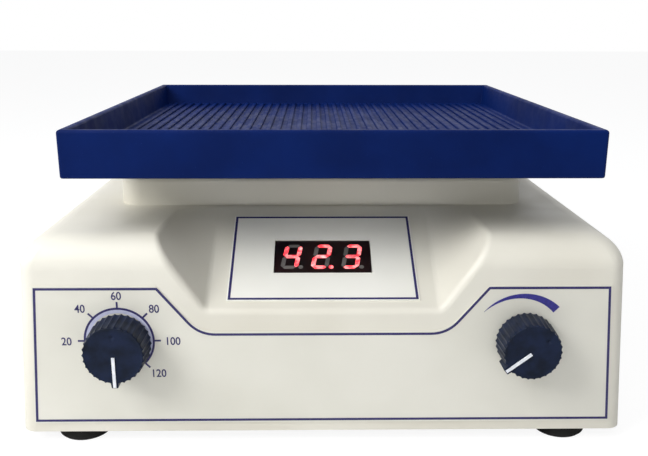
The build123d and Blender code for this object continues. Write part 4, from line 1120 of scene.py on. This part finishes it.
def make_rocker_marks():
    """The on and off marks, a bar and a ring, printed on the rocker's two flats."""
    bar = line_of_ink("on_mark", [(0, -MARK_SIZE), (0, MARK_SIZE)], ON_MARK_LINE, on_rocker(1))
    ring = line_of_ink("off_mark", circle((0, 0), MARK_SIZE, OFF_MARK_STEPS), OFF_MARK_LINE, on_rocker(-1),
                       closed=True)
    for mark in (bar, ring):
        dress(mark, "power_rocker", "rocker_plastic", material=WHITE_INK)


# Studio

IMAGE_WIDTH = 648
FOCAL_PIXELS = 756.7
SENSOR_WIDTH = 36.0
CAMERA_PLACE = mm(-4.0, -394.6, 168.0)
CAMERA_PITCH = math.radians(15.35)
CAMERA_YAW = math.radians(0.85)
CAMERA_ROLL = math.radians(0.12)
CAMERA_NEAREST = 0.01
WORLD_GLOW = 0.33
WORLD_SEEN = 1.0
FLOOR_HALF = 4.0
FLOOR_GLOW = 1.12
# The camera sees this share of the floor as glow, and the rest as the lit floor with its shadow.
FLOOR_GLOW_SHARE = 0.8
WHITE = (1, 1, 1, 1)
LAMP_TARGET = (0, -0.03, 0.07)
# Each lamp's place, side in metres and power in watts.
LAMPS = {
    "key": ((-0.68, -0.5, 0.68), 0.5, 7.6),
    "fill": ((-0.1, -1.15, 0.55), 0.9, 1.9),
    "top": ((-0.2, -0.1, 1.2), 1.0, 4.0),
}


def make_camera():
    """The photograph's own viewpoint, as solved from the case's and the tray's edges."""
    flat = Vector((math.sin(CAMERA_YAW), math.cos(CAMERA_YAW), 0))
    ahead = flat * math.cos(CAMERA_PITCH) - Vector((0, 0, math.sin(CAMERA_PITCH)))
    level = Vector((math.cos(CAMERA_YAW), -math.sin(CAMERA_YAW), 0))
    above = level.cross(ahead)
    right = math.cos(CAMERA_ROLL) * level + math.sin(CAMERA_ROLL) * above
    up = math.cos(CAMERA_ROLL) * above - math.sin(CAMERA_ROLL) * level
    camera = link("camera", bpy.data.cameras.new("camera"))
    camera.data.sensor_width = SENSOR_WIDTH
    camera.data.lens = FOCAL_PIXELS / IMAGE_WIDTH * SENSOR_WIDTH
    camera.data.clip_start = CAMERA_NEAREST
    turn = Matrix((right, up, -ahead)).transposed().to_4x4()
    camera.matrix_world = Matrix.Translation(CAMERA_PLACE) @ turn
    bpy.context.scene.camera = camera


def make_lamp(name, place, side, power):
    lamp = bpy.data.lights.new(name, "AREA")
    lamp.shape = "SQUARE"
    lamp.size = side
    lamp.energy = power
    piece = link(name, lamp)
    piece.location = place
    piece.rotation_euler = (Vector(LAMP_TARGET) - Vector(place)).to_track_quat("-Z", "Y").to_euler()


def make_world():
    """A pale surround: gentle on the object, and white where the camera or a reflection sees it."""
    world = bpy.data.worlds.new("studio")
    bpy.context.scene.world = world
    world.use_nodes = True
    tree = world.node_tree
    tree.nodes.clear()
    rays = add(tree, "ShaderNodeLightPath").outputs
    seen = reckon(tree, "MAXIMUM", rays["Is Camera Ray"], rays["Is Glossy Ray"])
    through = reckon(tree, "MAXIMUM", seen, rays["Is Transmission Ray"])
    soft = result(tree, "ShaderNodeBackground", {"Color": colour("F4F6FA"), "Strength": WORLD_GLOW})
    white = result(tree, "ShaderNodeBackground", {"Color": WHITE, "Strength": WORLD_SEEN})
    mixed = result(tree, "ShaderNodeMixShader", {0: through, 1: soft, 2: white})
    add(tree, "ShaderNodeOutputWorld", {0: mixed})


def make_floor():
    """A pale floor that keeps the object's shadow and reads white away from it."""
    made = bpy.data.materials.new("Pale matt floor")
    made.use_nodes = True
    tree = made.node_tree
    tree.nodes.clear()
    rays = add(tree, "ShaderNodeLightPath").outputs
    matt = result(tree, "ShaderNodeBsdfDiffuse", {"Color": colour("F2F2F2")})
    glow = result(tree, "ShaderNodeEmission", {"Color": WHITE, "Strength": FLOOR_GLOW})
    seen = reckon(tree, "MULTIPLY", rays["Is Camera Ray"], FLOOR_GLOW_SHARE)
    mixed = result(tree, "ShaderNodeMixShader", {0: seen, 1: matt, 2: glow})
    add(tree, "ShaderNodeOutputMaterial", {0: mixed})
    square = ((-1, -1), (1, -1), (1, 1), (-1, 1))
    corners = [(side * FLOOR_HALF, end * FLOOR_HALF, 0) for side, end in square]
    plane = mesh_from("floor", lambda body: body.faces.new([body.verts.new(corner) for corner in corners]))
    plane.data.materials.append(made)


def make_studio():
    bpy.context.scene.view_settings.view_transform = "Standard"
    make_camera()
    make_world()
    make_floor()
    for name, (place, side, power) in LAMPS.items():
        make_lamp(name, place, side, power)


dress_cad_nodes()
make_tray()
for dial_name, dial_angle in DIALS.items():
    make_dial(dial_name, dial_angle)
make_front_print()
make_panel_print()
make_digits()
make_all_screws()
make_rocker_marks()
make_studio()
